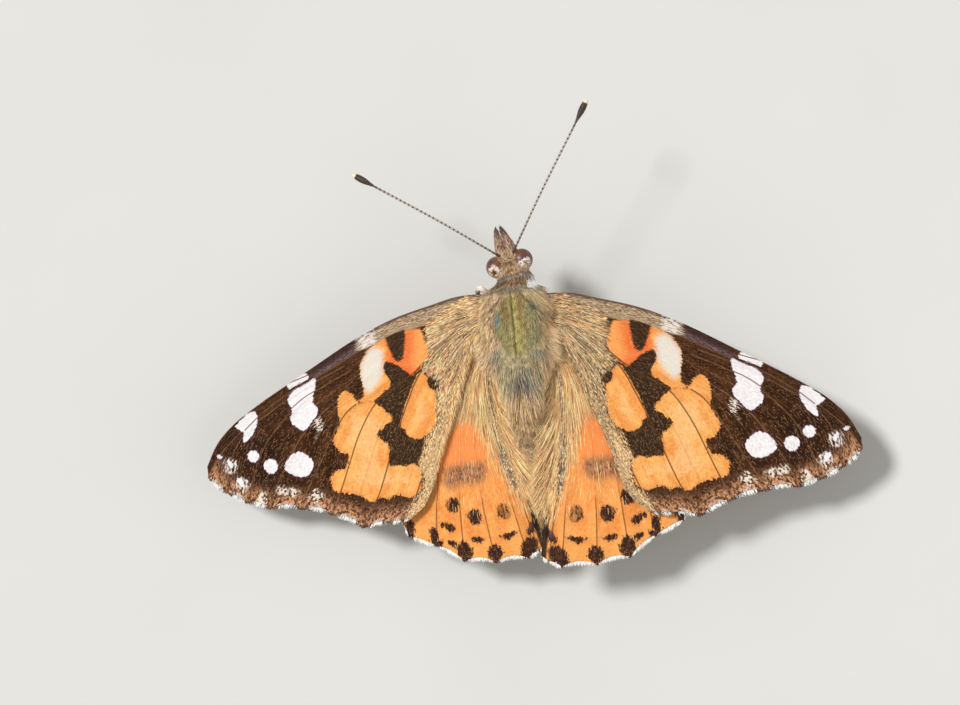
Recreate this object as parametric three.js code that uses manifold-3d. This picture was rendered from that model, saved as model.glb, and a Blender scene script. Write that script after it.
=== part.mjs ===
// A painted lady butterfly (Vanessa cardui), life size, standing with its wings spread.
// Millimetres, +Z up, head towards +Y, the butterfly's right side towards +X.
// Each body part is one closed mesh. Neighbours meet face to face, 0.3 mm apart.

import * as THREE from "three";
import { mergeVertices } from "three/addons/utils/BufferGeometryUtils.js";
import Module from "manifold-3d";

const wasm = await Module();
wasm.setup();

// Driving sizes
const meetingGap = 0.3;
const neckY = 5.45;
const waistY = -4.15;
const thoraxHalfWidth = 2.95;
const headYaw = 8;
const wingThickness = 0.5;
const veinHeight = 0.1;
const veinHalfWidth = 0.22;
const narrowestVeinShare = 0.28;
const wingCamber = 0.35;
const wingLayerStep = 1.1;
const legRadius = { femur: 0.4, tibia: 0.3, foot: 0.27 };
const abdomenSegments = 7;
const segmentSwell = 0.08;
const cutReach = 20;

// Where the wings hinge: the right forewing's root, and the hindwing's place from it in the wing plane
const forewingRoot = [3.3, 2.95, 10.6];
const hindwingFromForewing = [0.18, -2.7];

// Each wing's attitude in degrees: swept back when negative, tip down, front edge up
const wingPoses = {
  forewing_right: { side: 1, sweep: -6, droop: 8.3, pitch: 2.1, forward: 0, scale: 1 },
  forewing_left: { side: -1, sweep: 0.5, droop: 8.5, pitch: 7, forward: 0.6, scale: 1 },
  hindwing_right: { side: 1, sweep: -6, droop: 8.3, pitch: 2.1, forward: 0, scale: 1 },
  hindwing_left: { side: -1, sweep: -5.5, droop: 8.5, pitch: 7, forward: 0.2, scale: 0.97 },
};

// A wing is lofted between lines that fan out from its root, in the wing's own plane:
// outwards, then forwards, from the middle of the root. start is where a raised vein begins,
// as a share of the line; bay is how far the edge is scooped in between this line and the next.
const forewingLines = [
  { name: "costa", start: 0, bay: 0,
    points: [[0, 1], [1.7, 1.1], [4.4, 0.6], [8, -0.2], [11.6, -1.5], [17, -4.1], [22.4, -6.8],
      [25.1, -8.4], [26.9, -10], [28.2, -12]] },
  { name: "radius", start: 0, bay: 0,
    points: [[0, 0.5], [4.4, -0.6], [8, -1.3], [11.2, -2.6], [16.2, -4.8], [19, -5.9], [23.3, -8.4],
      [26.5, -10.8], [28.3, -13]] },
  { name: "radius_5", start: 0.45, bay: 0.1,
    points: [[0, 0.3], [4.4, -1], [8.9, -2.1], [12.5, -3.7], [17.5, -5.7], [21.1, -7.5], [24, -9.3],
      [25.8, -11.7], [26.6, -14.6]] },
  { name: "media_1", start: 0.45, bay: 0.2,
    points: [[0, 0.1], [4.4, -1.4], [8.9, -2.9], [12.5, -4.4], [16.7, -6.2], [19, -7.7], [22, -10.4],
      [23.8, -13.5], [24.7, -15.7]] },
  { name: "media_2", start: 0.45, bay: 0.4,
    points: [[0.1, -0.2], [4.4, -2], [8.9, -4], [12.3, -5.9], [16.6, -8.5], [18.5, -10.2], [20.4, -12.7],
      [21.7, -14.8], [22.5, -16.5]] },
  { name: "media_3", start: 0.45, bay: 0.35,
    points: [[0.1, -0.5], [4.4, -2.6], [8.5, -5.1], [11.6, -7.1], [13.7, -8.3], [15.7, -10.8],
      [17.2, -13.1], [18.5, -15], [19.5, -16.8]] },
  { name: "cubitus_1", start: 0, bay: 0.3,
    points: [[0.1, -0.7], [3.1, -2.3], [5.1, -4], [7.4, -5.8], [10.6, -7.6], [12.7, -10.3], [14.1, -13],
      [15.3, -15.4], [16.6, -17.6]] },
  { name: "cubitus_2", start: 0.2, bay: 0.2,
    points: [[0.1, -0.9], [2.6, -2.5], [4.9, -4.4], [6.4, -5.7], [7.7, -7.9], [8.9, -10.2], [10.1, -12.8],
      [12, -16.7], [13.7, -19.1]] },
  { name: "fold", start: 1, bay: 0,
    points: [[0.1, -1.1], [2.6, -3.2], [4.6, -5.4], [5.9, -7.5], [8, -11.5], [9.4, -14.4], [10.3, -16.7],
      [11.1, -18.8]] },
  { name: "anal", start: 0, bay: 0,
    points: [[0.1, -1.3], [2.1, -4.2], [3.7, -7.3], [5.5, -11.1], [7.1, -14.4], [8.5, -17.1], [9.8, -18.8]] },
  { name: "inner_margin", start: 1, bay: 0,
    points: [[0.1, -1.5], [1.7, -4.5], [3.5, -8.6], [5.3, -12.6], [6.7, -16.4], [7.7, -17.8], [9, -18.7]] },
];

const hindwingLines = [
  { name: "costa", start: 0, bay: 0,
    points: [[0, 1], [4.2, 0.3], [8.7, -2.4], [12.3, -6.8], [13.9, -11.4], [13.6, -14.8]] },
  { name: "radius", start: 0, bay: 0.1,
    points: [[0, 0.6], [4.2, -0.9], [8.3, -4.8], [11.4, -9.9], [13, -15.8]] },
  { name: "media_1", start: 0.3, bay: 0.1,
    points: [[0, 0.3], [3.8, -2.4], [7.4, -7.2], [10.1, -12.1], [12, -16.8]] },
  { name: "media_2", start: 0.3, bay: 0.25,
    points: [[0, 0.1], [3.3, -3.6], [6.2, -8.5], [8.3, -13.9], [9.5, -18.2]] },
  { name: "media_3", start: 0.3, bay: 0.4,
    points: [[0, -0.2], [2.9, -4.5], [5, -9.4], [6.2, -14.8], [7.1, -20.2]] },
  { name: "cubitus_1", start: 0, bay: 0.4,
    points: [[0, -0.4], [2.3, -5], [3.5, -9.9], [4, -15.7], [4.1, -20.9]] },
  { name: "cubitus_2", start: 0.2, bay: 0.1,
    points: [[0, -0.7], [1.4, -5], [1.7, -10.3], [1.2, -16.2], [0.9, -21.1]] },
  { name: "anal", start: 0, bay: 0,
    points: [[-0.1, -1], [1, -5.8], [1, -10.3], [0.3, -15.7], [-0.3, -20.6]] },
  { name: "inner_margin", start: 1, bay: 0,
    points: [[-0.1, -1.2], [0.3, -5.8], [0.3, -8.5], [-0.2, -12.5], [-0.7, -16.6], [-0.7, -20.1]] },
];

// Colours, with the finish of scales and hair
const colours = {
  orange: 0xe08a3c,
  hairBrown: 0xa5855c,
  backGreen: 0x6e6e40,
  legBrown: 0x8a6f55,
  eye: 0x6a3416,
  antenna: 0x3a322c,
};
const finish = (color, roughness) => new THREE.MeshStandardMaterial({ color, roughness, metalness: 0 });

const radians = THREE.MathUtils.degToRad;
const vector = (p) => new THREE.Vector3(...p);
const mirrorX = (side) => (p) => [side * p[0], p[1], p[2]];

/** A closed mesh from flat lists of corners and triangles. */
function surface(corners, triangles) {
  const geometry = new THREE.BufferGeometry();
  geometry.setAttribute("position", new THREE.Float32BufferAttribute(corners, 3));
  geometry.setIndex(triangles);
  return geometry;
}

/** A solid that can be joined and cut, from a closed mesh. */
function solidOf(geometry) {
  const bare = geometry.clone();
  bare.deleteAttribute("normal");
  bare.deleteAttribute("uv");
  const merged = mergeVertices(bare, 1e-5);
  const vertProperties = new Float32Array(merged.attributes.position.array);
  const triVerts = new Uint32Array(merged.index.array);
  return new wasm.Manifold(new wasm.Mesh({ numProp: 3, vertProperties, triVerts }));
}

/** The largest closed body of a solid, as a mesh. */
function bodyOf(solid) {
  const bodies = solid.decompose();
  const largest = bodies.reduce((a, b) => (a.volume() > b.volume() ? a : b));
  const mesh = largest.getMesh();
  return surface(Array.from(mesh.vertProperties), Array.from(mesh.triVerts));
}

/** An ellipsoid at centre, turned about Z by yaw degrees. */
function ellipsoid({ centre, radii, yaw = 0 }, grow = 0, across = 16, down = 10) {
  const ball = new THREE.SphereGeometry(1, across, down);
  ball.rotateX(Math.PI / 2);
  ball.scale(radii[0] + grow, radii[1] + grow, radii[2] + grow);
  ball.rotateZ(radians(yaw));
  ball.translate(...centre);
  return ball;
}

/** A box between two corners, for flat cuts. */
function block(low, high) {
  const size = high.map((value, axis) => value - low[axis]);
  const box = new THREE.BoxGeometry(...size);
  box.translate(...low.map((value, axis) => value + size[axis] / 2));
  return solidOf(box);
}

/** A round rod along a smooth line, with closed ends. Its radius runs through radii; swell adds a share. */
function rod(points, radii, { steps = 16, sides = 8, swell = () => 0 } = {}) {
  const line = new THREE.CatmullRomCurve3(points.map(vector), false, "centripetal");
  const frames = line.computeFrenetFrames(steps, false);
  const corners = [];
  const triangles = [];
  for (let i = 0; i <= steps; i += 1) {
    const share = i / steps;
    const centre = line.getPointAt(share);
    const place = share * (radii.length - 1);
    const before = Math.min(Math.floor(place), radii.length - 2);
    const plain = THREE.MathUtils.lerp(radii[before], radii[before + 1], place - before);
    const radius = plain * (1 + swell(share));
    for (let j = 0; j < sides; j += 1) {
      const angle = (2 * Math.PI * j) / sides;
      const corner = centre.clone()
        .addScaledVector(frames.normals[i], radius * Math.cos(angle))
        .addScaledVector(frames.binormals[i], radius * Math.sin(angle));
      corners.push(...corner);
    }
  }
  for (let i = 0; i < steps; i += 1) {
    for (let j = 0; j < sides; j += 1) {
      const a = i * sides + j;
      const b = i * sides + ((j + 1) % sides);
      triangles.push(a, b, a + sides, b, b + sides, a + sides);
    }
  }
  const ends = [[0, -1], [steps * sides, 1]];
  for (const [first, direction] of ends) {
    for (let j = 1; j < sides - 1; j += 1) {
      const pair = direction > 0 ? [first + j, first + j + 1] : [first + j + 1, first + j];
      triangles.push(first, ...pair);
    }
  }
  return surface(corners, triangles);
}

/** Corners below the floor are raised to it, which gives a foot its small flat. */
function standOnFloor(geometry) {
  const position = geometry.attributes.position;
  for (let i = 0; i < position.count; i += 1) {
    position.setZ(i, Math.max(position.getZ(i), 0));
  }
  return geometry;
}

/** The wing as a plate lofted between its lines, with the veins raised out of both faces. */
function wingPlate(lines, rows, side) {
  const curves = lines.map(({ points }) => new THREE.CatmullRomCurve3(
    points.map(([out, forward]) => new THREE.Vector3(out, forward, 0)), false, "centripetal"));
  const lengths = curves.map((curve) => curve.getLength());
  const columns = [];
  lines.forEach(({ start, bay }, k) => {
    if (k > 0) columns.push({ from: k - 1, shoulder: -1 });
    const isLast = k === lines.length - 1;
    columns.push({ from: isLast ? k - 1 : k, on: isLast ? 1 : 0, start, crest: true });
    if (!isLast) {
      columns.push({ from: k, shoulder: 1 });
      columns.push({ from: k, middle: true, bay });
    }
  });
  const place = (column, share) => {
    const { from } = column;
    const scoop = column.middle ? (column.bay / lengths[from]) * share ** 6 : 0;
    const first = curves[from].getPointAt(share - scoop);
    const second = curves[from + 1].getPointAt(share - scoop);
    const narrow = Math.min(veinHalfWidth / first.distanceTo(second), narrowestVeinShare);
    let weight = column.on ?? 0.5;
    if (column.shoulder === 1) weight = narrow;
    if (column.shoulder === -1) weight = 1 - narrow;
    return first.lerp(second, weight);
  };
  const camber = (share, across) => wingCamber * Math.sin(Math.PI * share) * Math.sin(Math.PI * across);
  const corners = [];
  for (const face of [1, -1]) {
    for (let i = 0; i <= rows; i += 1) {
      const share = i / rows;
      columns.forEach((column, j) => {
        const { x, y } = place(column, share);
        const raised = column.crest && share >= column.start ? veinHeight : 0;
        const height = camber(share, j / (columns.length - 1)) + face * (wingThickness / 2 + raised);
        corners.push(side * x, y, height);
      });
    }
  }
  const wide = columns.length;
  const under = (rows + 1) * wide;
  const triangles = [];
  const add = (a, b, c) => triangles.push(...(side > 0 ? [a, b, c] : [a, c, b]));
  for (let i = 0; i < rows; i += 1) {
    for (let j = 0; j < wide - 1; j += 1) {
      const a = i * wide + j;
      add(a, a + 1, a + wide);
      add(a + 1, a + wide + 1, a + wide);
      add(under + a, under + a + wide, under + a + 1);
      add(under + a + 1, under + a + wide, under + a + wide + 1);
    }
  }
  const rim = [];
  for (let j = 0; j < wide; j += 1) rim.push(j);
  for (let i = 1; i <= rows; i += 1) rim.push(i * wide + wide - 1);
  for (let j = wide - 2; j >= 0; j -= 1) rim.push(rows * wide + j);
  for (let i = rows - 1; i >= 1; i -= 1) rim.push(i * wide);
  rim.forEach((a, index) => {
    const b = rim[(index + 1) % rim.length];
    add(a, under + a, b);
    add(b, under + a, under + b);
  });
  return surface(corners, triangles);
}

/** One wing, placed at its root in its own attitude. */
function wing(name, lines, rows) {
  const { side, sweep, droop, pitch, forward, scale } = wingPoses[name];
  const isHindwing = name.startsWith("hindwing");
  const turn = new THREE.Euler(radians(pitch), side * radians(droop), side * radians(sweep), "ZYX");
  const root = vector(mirrorX(side)(forewingRoot));
  root.y += forward;
  if (isHindwing) {
    const [out, back] = hindwingFromForewing;
    const step = new THREE.Vector3(side * out, back, -wingLayerStep);
    root.add(step.applyEuler(turn));
  }
  const mesh = new THREE.Mesh(wingPlate(lines, rows, side), finish(colours.orange, 0.75));
  mesh.name = name;
  mesh.position.copy(root);
  mesh.rotation.copy(turn);
  mesh.scale.setScalar(scale);
  return mesh;
}

// The trunk: chest, collar, shoulder pads and the narrow rear of the thorax, all furred
const thoraxLobes = [
  { centre: [0, 0.3, 10.2], radii: [3.1, 4.7, 2.8] },
  { centre: [0, 4.3, 10.8], radii: [2, 1.7, 1.8] },
  { centre: [0, -2.6, 10.1], radii: [2.5, 2.4, 2.3] },
  { centre: [2.15, 3.2, 11.4], radii: [0.95, 1.9, 0.75], yaw: 12 },
  { centre: [-2.15, 3.2, 11.4], radii: [0.95, 1.9, 0.75], yaw: -12 },
];

/** The thorax, cut flat where the head, the abdomen and the wings meet it. */
function thoraxSolid(grow = 0) {
  const lobes = thoraxLobes.map((lobe) => solidOf(ellipsoid(lobe, grow)));
  const whole = lobes.reduce((joined, lobe) => joined.add(lobe));
  const width = thoraxHalfWidth + grow;
  return whole.intersect(block([-width, waistY - grow, 0], [width, neckY + grow, cutReach]));
}

const headLobe = { centre: [0, 6.95, 10.6], radii: [1.4, 1.45, 1.45] };
const headSolid = (grow = 0) => solidOf(ellipsoid(headLobe, grow))
  .intersect(block([-cutReach, neckY + meetingGap - grow, 0], [cutReach, cutReach, cutReach]));

const thorax = bodyOf(thoraxSolid());
const head = bodyOf(headSolid());
const thoraxClearance = thoraxSolid(meetingGap);
const headClearance = headSolid(meetingGap);

/** A piece that grows from the head, cut back to the gap in front of it. */
const fromHead = (geometry) => bodyOf(solidOf(geometry).subtract(headClearance));

/** A leg that grows from the thorax, from its hip to its foot. */
function leg(path, radii, side) {
  const shape = standOnFloor(rod(path.map(mirrorX(side)), radii, { steps: 18, sides: 8 }));
  return bodyOf(solidOf(shape).subtract(thoraxClearance));
}

// Each leg from its hip over the knee to the foot, on the right side. The left middle knee shows
// in front of the wing; the right one is tucked under it.
const { femur, tibia, foot } = legRadius;
const longLegRadii = [femur, femur, tibia, tibia, foot, foot, 0.25];
const forelegPath = [[0.5, 3.7, 9.2], [1, 4.7, 8.5], [1.15, 6, 8.2], [0.95, 7.1, 8.1]];
const hindlegPath = [[0.8, -0.6, 8.3], [1.6, -1.3, 7.5], [3.5, -3.6, 7.8], [5, -6, 4], [6, -7.5, 0.9],
  [6.3, -8, 0.22], [6.8, -8.9, 0.22]];
const midlegPath = (kneeOut, kneeForward, kneeHeight) => [[0.8, 1.8, 8.4], [1.5, 2.9, 8],
  [kneeOut, kneeForward, kneeHeight], [4.9, 4.2, 5], [6.6, 3.2, 0.9], [7, 2.9, 0.22], [7.9, 2.6, 0.22]];
const legs = {
  foreleg_right: { side: 1, path: forelegPath, radii: [0.3, 0.32, 0.28, 0.25] },
  foreleg_left: { side: -1, path: forelegPath, radii: [0.3, 0.32, 0.28, 0.25] },
  midleg_right: { side: 1, path: midlegPath(3.2, 3.8, 9.3), radii: longLegRadii },
  midleg_left: { side: -1, path: midlegPath(3, 5.2, 9.7), radii: longLegRadii },
  hindleg_right: { side: 1, path: hindlegPath, radii: longLegRadii },
  hindleg_left: { side: -1, path: hindlegPath, radii: longLegRadii },
};

// The abdomen's line from the waist to the tip: y, height of the middle, radius. Its segments swell a little.
const abdomenLine = [
  [-3.6, 10.1, 1.55], [-5.4, 9.75, 1.8], [-7.2, 9.1, 1.8], [-9, 8.3, 1.65], [-10.8, 7.5, 1.35],
  [-12.3, 6.85, 1], [-13.5, 6.4, 0.6], [-14.2, 6.1, 0.2],
];
const segmentRipple = (share) => segmentSwell * Math.abs(Math.sin(Math.PI * abdomenSegments * share));
const abdomenRod = rod(
  abdomenLine.map(([y, z]) => [0, y, z]),
  abdomenLine.map(([, , radius]) => radius),
  { steps: 28, sides: 16, swell: segmentRipple });
const abdomen = bodyOf(solidOf(abdomenRod)
  .intersect(block([-cutReach, -cutReach, 0], [cutReach, waistY - meetingGap, cutReach])));

const eyeLobe = { centre: [1.1, 7.05, 10.75], radii: [1.05, 1.05, 1.1] };
const palpPath = [[0.4, 7.7, 10.3], [0.44, 8.6, 10.5], [0.36, 9.6, 10.9], [0.27, 10.55, 11.3]];

// The proboscis is coiled under the head, in the plane x = 0, from its outer reach to its inner one
const coil = { middleY: 8.15, middleZ: 8.4, turns: 1.1, outer: 1.15, inner: 0.3, radius: 0.25, points: 16 };
const proboscisPath = [];
for (let i = 0; i < coil.points; i += 1) {
  const share = i / (coil.points - 1);
  const angle = share * coil.turns * 2 * Math.PI;
  const reach = THREE.MathUtils.lerp(coil.outer, coil.inner, share);
  proboscisPath.push([0, coil.middleY - reach * Math.sin(angle), coil.middleZ + reach * Math.cos(angle)]);
}

// The antennae reach out unevenly, as the head is turned a little
const antennaPaths = {
  antenna_right: [[0.5, 7.9, 11.4], [3.6, 12.6, 12.9], [7.7, 18.7, 13.9], [8.97, 20.7, 14]],
  antenna_left: [[-0.6, 7.7, 11.4], [-5.6, 11.4, 13], [-11.1, 15.2, 13.9], [-12.97, 16.5, 14]],
};
const antennaRadii = [0.25, 0.25, 0.25, 0.25, 0.25, 0.25, 0.25, 0.33, 0.36, 0.2];

/** A named mesh of the part. */
function piece(name, geometry, color, roughness = 0.85) {
  const mesh = new THREE.Mesh(geometry, finish(color, roughness));
  mesh.name = name;
  return mesh;
}

const butterfly = new THREE.Group();
butterfly.add(
  piece("thorax", thorax, colours.backGreen),
  piece("abdomen", abdomen, colours.hairBrown),
  wing("forewing_right", forewingLines, 10),
  wing("forewing_left", forewingLines, 10),
  wing("hindwing_right", hindwingLines, 8),
  wing("hindwing_left", hindwingLines, 8),
);

// The head and what it carries turn together about the neck
const headGroup = new THREE.Group();
headGroup.position.set(0, neckY, 0);
headGroup.rotation.z = radians(headYaw);
const neck = new THREE.Vector3(0, neckY, 0);
const inHead = (mesh) => {
  mesh.position.sub(neck);
  headGroup.add(mesh);
};
inHead(piece("head", head, colours.hairBrown));
const coiled = rod(proboscisPath, [coil.radius, coil.radius], { steps: 30, sides: 6 });
inHead(piece("proboscis", fromHead(coiled), colours.antenna));
for (const [suffix, side] of [["right", 1], ["left", -1]]) {
  const mirrored = mirrorX(side);
  const eye = ellipsoid({ ...eyeLobe, centre: mirrored(eyeLobe.centre) });
  inHead(piece(`eye_${suffix}`, fromHead(eye), colours.eye, 0.25));
  const palp = rod(palpPath.map(mirrored), [0.42, 0.44, 0.38, 0.14], { steps: 10, sides: 10 });
  inHead(piece(`palp_${suffix}`, fromHead(palp), colours.hairBrown));
}
for (const [name, { side, path, radii }] of Object.entries(legs)) {
  butterfly.add(piece(name, leg(path, radii, side), colours.legBrown));
}
butterfly.add(headGroup);

const unturn = new THREE.Matrix4().makeTranslation(0, neckY, 0)
  .multiply(new THREE.Matrix4().makeRotationZ(radians(-headYaw)))
  .multiply(new THREE.Matrix4().makeTranslation(0, -neckY, 0));
for (const [name, path] of Object.entries(antennaPaths)) {
  const turned = path.map((p) => vector(p).applyMatrix4(unturn).toArray());
  const shape = rod(turned, antennaRadii, { steps: 18, sides: 6 });
  inHead(piece(name, fromHead(shape), colours.antenna));
}

// The origin is at the middle of the part's outline, on the floor
const outline = new THREE.Box3().setFromObject(butterfly, true);
const middle = outline.getCenter(new THREE.Vector3());
butterfly.position.set(-middle.x, -middle.y, -outline.min.z);

export default butterfly;
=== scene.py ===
# %% [markdown]
# A painted lady butterfly at life size
#
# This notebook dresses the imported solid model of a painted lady: wings with their markings and scales,
# a furred body, ringed feelers and legs. Shapes are numpy arrays worked out in millimetres in the body's
# own frame, head towards +Y and the right wings towards +X, and they are put into Blender in metres.

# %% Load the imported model
import math

import bpy
import numpy as np
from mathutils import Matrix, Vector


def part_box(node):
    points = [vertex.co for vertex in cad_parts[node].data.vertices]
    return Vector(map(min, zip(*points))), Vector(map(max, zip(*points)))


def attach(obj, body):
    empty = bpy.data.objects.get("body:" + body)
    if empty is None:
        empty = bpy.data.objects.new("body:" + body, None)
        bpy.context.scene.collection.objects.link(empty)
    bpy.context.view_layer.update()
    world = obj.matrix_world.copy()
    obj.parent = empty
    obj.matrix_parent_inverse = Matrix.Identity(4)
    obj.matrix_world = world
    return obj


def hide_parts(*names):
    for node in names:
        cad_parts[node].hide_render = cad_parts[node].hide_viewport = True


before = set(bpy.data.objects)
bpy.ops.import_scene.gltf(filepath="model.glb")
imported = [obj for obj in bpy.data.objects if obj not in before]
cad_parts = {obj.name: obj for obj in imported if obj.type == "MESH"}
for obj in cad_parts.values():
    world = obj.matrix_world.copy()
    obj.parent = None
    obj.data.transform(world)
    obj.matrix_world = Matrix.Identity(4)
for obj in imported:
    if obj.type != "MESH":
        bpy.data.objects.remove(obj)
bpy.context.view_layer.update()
print("packed nodes:", len(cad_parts))

# %% [markdown]
# The solids were built round the middle of the chest and then moved so that the whole outline is centred.
# The chest's box tells how far they moved, so every piece below lands on its solid. A few small functions
# that most later cells share stand here too.

# %% From body millimetres to the model's metres
MM = 0.001
waist_y = -4.15
neck_y = 5.45
thorax_low, thorax_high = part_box("thorax")
shift = np.array([(thorax_low.x + thorax_high.x) / 2, thorax_low.y - waist_y * MM, 0])


def in_metres(points):
    """Body-frame millimetres as places in the model: scaled, then shifted as the solids were."""
    return np.asarray(points, float) * MM + shift


def unit(vectors):
    """Each vector divided by its own length."""
    return vectors / np.maximum(np.linalg.norm(vectors, axis=-1, keepdims=True), 1e-12)


def rise(values, low, high):
    """A smooth step: 0 at or below low, 1 at or above high, and 3t squared minus 2t cubed between."""
    t = np.clip((np.asarray(values, float) - low) / (high - low), 0, 1)
    return t * t * (3 - 2 * t)


def fall(values, low, high):
    """The same step downwards: 1 at or below low and 0 at or above high."""
    return 1 - rise(values, low, high)


def bell(values, centre, width):
    """1 at the centre and less on both sides: e to minus the square of (values - centre) / width."""
    return np.exp(-((values - centre) / width) ** 2)


print("shift in mm:", np.round(shift / MM, 3))

# %% [markdown]
# The photograph looks down on the butterfly's back from about 30 cm. The line of sight leans 8 degrees to its
# right and 3 degrees to its tail, and the picture is turned so that the body leans 6 degrees to the left.
# The camera comes first, so that each piece can be judged in the photograph's frame. Its matrix is handed
# over column by column, as Blender reads nested lists.

# %% Camera
look_right, look_back, lean = math.radians(8), math.radians(-3), math.radians(6)
distance = 300
picture_size = np.array([960, 705])
mm_per_pixel = 0.09
sensor_width = 36
chest_top = np.array([0, 0, 13.0])
chest_top_pixel = np.array([514, 340])

sight = np.array([math.sin(look_right) * math.cos(look_back), math.sin(look_back),
                  math.cos(look_right) * math.cos(look_back)])
level = unit(np.cross([0, 1, 0], sight))
upright = np.cross(sight, level)
right = level * math.cos(lean) - upright * math.sin(lean)
up = level * math.sin(lean) + upright * math.cos(lean)
off_centre = (picture_size / 2 - chest_top_pixel) * mm_per_pixel
aim = chest_top + right * off_centre[0] - up * off_centre[1]

camera_data = bpy.data.cameras.new("camera")
camera_data.sensor_width = sensor_width
camera_data.lens = sensor_width * distance / (mm_per_pixel * picture_size[0])
camera_data.clip_start = 0.01
camera = bpy.data.objects.new("camera", camera_data)
turn = np.eye(4)
turn[:3, :3] = np.column_stack([right, up, sight])
turn[:3, 3] = in_metres(aim + sight * distance)
camera.matrix_world = turn.T.tolist()
bpy.context.scene.collection.objects.link(camera)
bpy.context.scene.camera = camera
print("lens:", round(camera_data.lens, 1), "mm")

# %% [markdown]
# Shader sums read best as sums. One small class holds a socket and turns +, - and * into Math nodes, and
# one other makes a material and any other node in it. Colours are named in 0-255 screen values and turned
# to the linear light that shaders work in. A surface is then a list of layers, each a colour and its weight.

# %% Writing materials as expressions
def ink(red, green, blue):
    """A screen colour in linear light: divided by 12.92 when dark, else (c + 0.055) / 1.055 to the 2.4."""
    screen = np.array([red, green, blue]) / 255
    linear = np.where(screen <= 0.04045, screen / 12.92, ((screen + 0.055) / 1.055) ** 2.4)
    return (*linear.tolist(), 1.0)


class Value:
    """A socket that takes part in sums: each operator makes a Math node and gives back its output."""

    def __init__(self, paint, socket):
        self.paint = paint
        self.socket = socket

    def math(self, operation, *values):
        return self.paint.node("ShaderNodeMath", {"operation": operation}, dict(enumerate(values)))

    def __add__(self, other):
        return self.math("ADD", self, other)

    def __sub__(self, other):
        return self.math("SUBTRACT", self, other)

    def __mul__(self, other):
        return self.math("MULTIPLY", self, other)

    def __rsub__(self, other):
        return self.math("SUBTRACT", other, self)

    __radd__ = __add__
    __rmul__ = __mul__


class Paint:
    """A material with one Principled shader, whose other nodes are written as expressions."""

    def __init__(self, name, **finish):
        self.material = bpy.data.materials.new(name)
        self.material.use_nodes = True
        self.tree = self.material.node_tree
        self.shader = self.tree.nodes["Principled BSDF"]
        for socket, value in finish.items():
            self.feed(self.shader.inputs[socket.replace("_", " ")], value)

    def feed(self, socket, value):
        if isinstance(value, Value):
            self.tree.links.new(value.socket, socket)
        else:
            socket.default_value = value

    def node(self, kind, settings=None, inputs=None, output=0):
        """Any node: its settings first, then its sockets, each from a number, a colour or a link."""
        made = self.tree.nodes.new(kind)
        for name, value in (settings or {}).items():
            setattr(made, name, value)
        for socket, value in (inputs or {}).items():
            self.feed(made.inputs[socket], value)
        return Value(self, made.outputs[output])

    def field(self, name, output=2):
        """A number stored on the mesh's points, or with output 0 a colour and with 1 a vector."""
        return self.node("ShaderNodeAttribute", {"attribute_name": name}, output=output)

    def stretched(self, vector, *factors):
        """The vector with each axis multiplied by its factor."""
        return self.node("ShaderNodeVectorMath", {"operation": "MULTIPLY"}, {0: vector, 1: factors})

    def place(self, factor):
        """The object's own coordinates, in metres, multiplied by a factor."""
        return self.stretched(self.node("ShaderNodeTexCoord", output=3), factor, factor, factor)

    def noise(self, vector, detail=2.0):
        """Soft noise about 0.5 with features one unit of the vector apart."""
        return self.node("ShaderNodeTexNoise", inputs={"Vector": vector, "Scale": 1.0, "Detail": detail})

    def cells(self, vector):
        """Flat cells one unit apart: a random number for each, and the distance from each middle."""
        colour, middle = [self.node("ShaderNodeTexVoronoi", {"voronoi_dimensions": "2D"},
                                    {"Vector": vector, "Scale": 1.0}, output)
                          for output in ("Color", "Distance")]
        return self.node("ShaderNodeSeparateColor", inputs={0: colour}), middle

    def rise(self, value, low, high):
        """A smooth step from 0 to 1 between low and high."""
        return self.node("ShaderNodeMapRange", {"interpolation_type": "SMOOTHSTEP"},
                         {0: value, 1: low, 2: high})

    def fall(self, value, low, high):
        """The same step from 1 to 0."""
        return 1 - self.rise(value, low, high)

    def mix(self, under, over, weight):
        """The colour under, covered by the colour over to a weight from 0 to 1."""
        return self.node("ShaderNodeMix", {"data_type": "RGBA"}, {0: weight, 6: under, 7: over}, 2)

    def layers(self, colour, *covers):
        """A colour with others laid over it in turn, each given with its weight."""
        for over, weight in covers:
            colour = self.mix(colour, over, weight)
        return colour

    def bump(self, height, distance_mm, strength):
        self.feed(self.shader.inputs["Normal"], self.node(
            "ShaderNodeBump", inputs={"Height": height, "Distance": distance_mm * MM, "Strength": strength}))

    def finish(self, colour, roughness=None):
        self.feed(self.shader.inputs["Base Color"], colour)
        if roughness is not None:
            self.feed(self.shader.inputs["Roughness"], roughness)
        return self.material


print("an orange in linear light:", np.round(ink(240, 140, 70), 3))

# %% [markdown]
# A plain pale floor and soft studio light: one wide lamp high on the left stands for the sun of the
# photograph, a weaker one fills from the right, and the pale world lights the rest. The view is set to
# plain screen colours, so that a named colour comes out as it was named.

# %% Floor, light and view
def flat_floor(half_width):
    """A square at height 0, in metres."""
    corners = [(-half_width, -half_width, 0), (half_width, -half_width, 0),
               (half_width, half_width, 0), (-half_width, half_width, 0)]
    mesh = bpy.data.meshes.new("floor")
    mesh.from_pydata(corners, [], [(0, 1, 2, 3)])
    floor = bpy.data.objects.new("floor", mesh)
    bpy.context.scene.collection.objects.link(floor)
    paint = Paint("floor_paper", Roughness=0.9)
    fleck = paint.noise(paint.place(40))
    mesh.materials.append(paint.finish(paint.mix(ink(189, 189, 186), ink(198, 197, 194), fleck)))


def lamp(name, energy, angle, toward):
    """A distant lamp of a wide angle, which shines along toward."""
    data = bpy.data.lights.new(name, "SUN")
    data.energy = energy
    data.angle = math.radians(angle)
    made = bpy.data.objects.new(name, data)
    made.rotation_mode = "QUATERNION"
    made.rotation_quaternion = Vector(toward).to_track_quat("-Z", "Y")
    bpy.context.scene.collection.objects.link(made)


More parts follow.
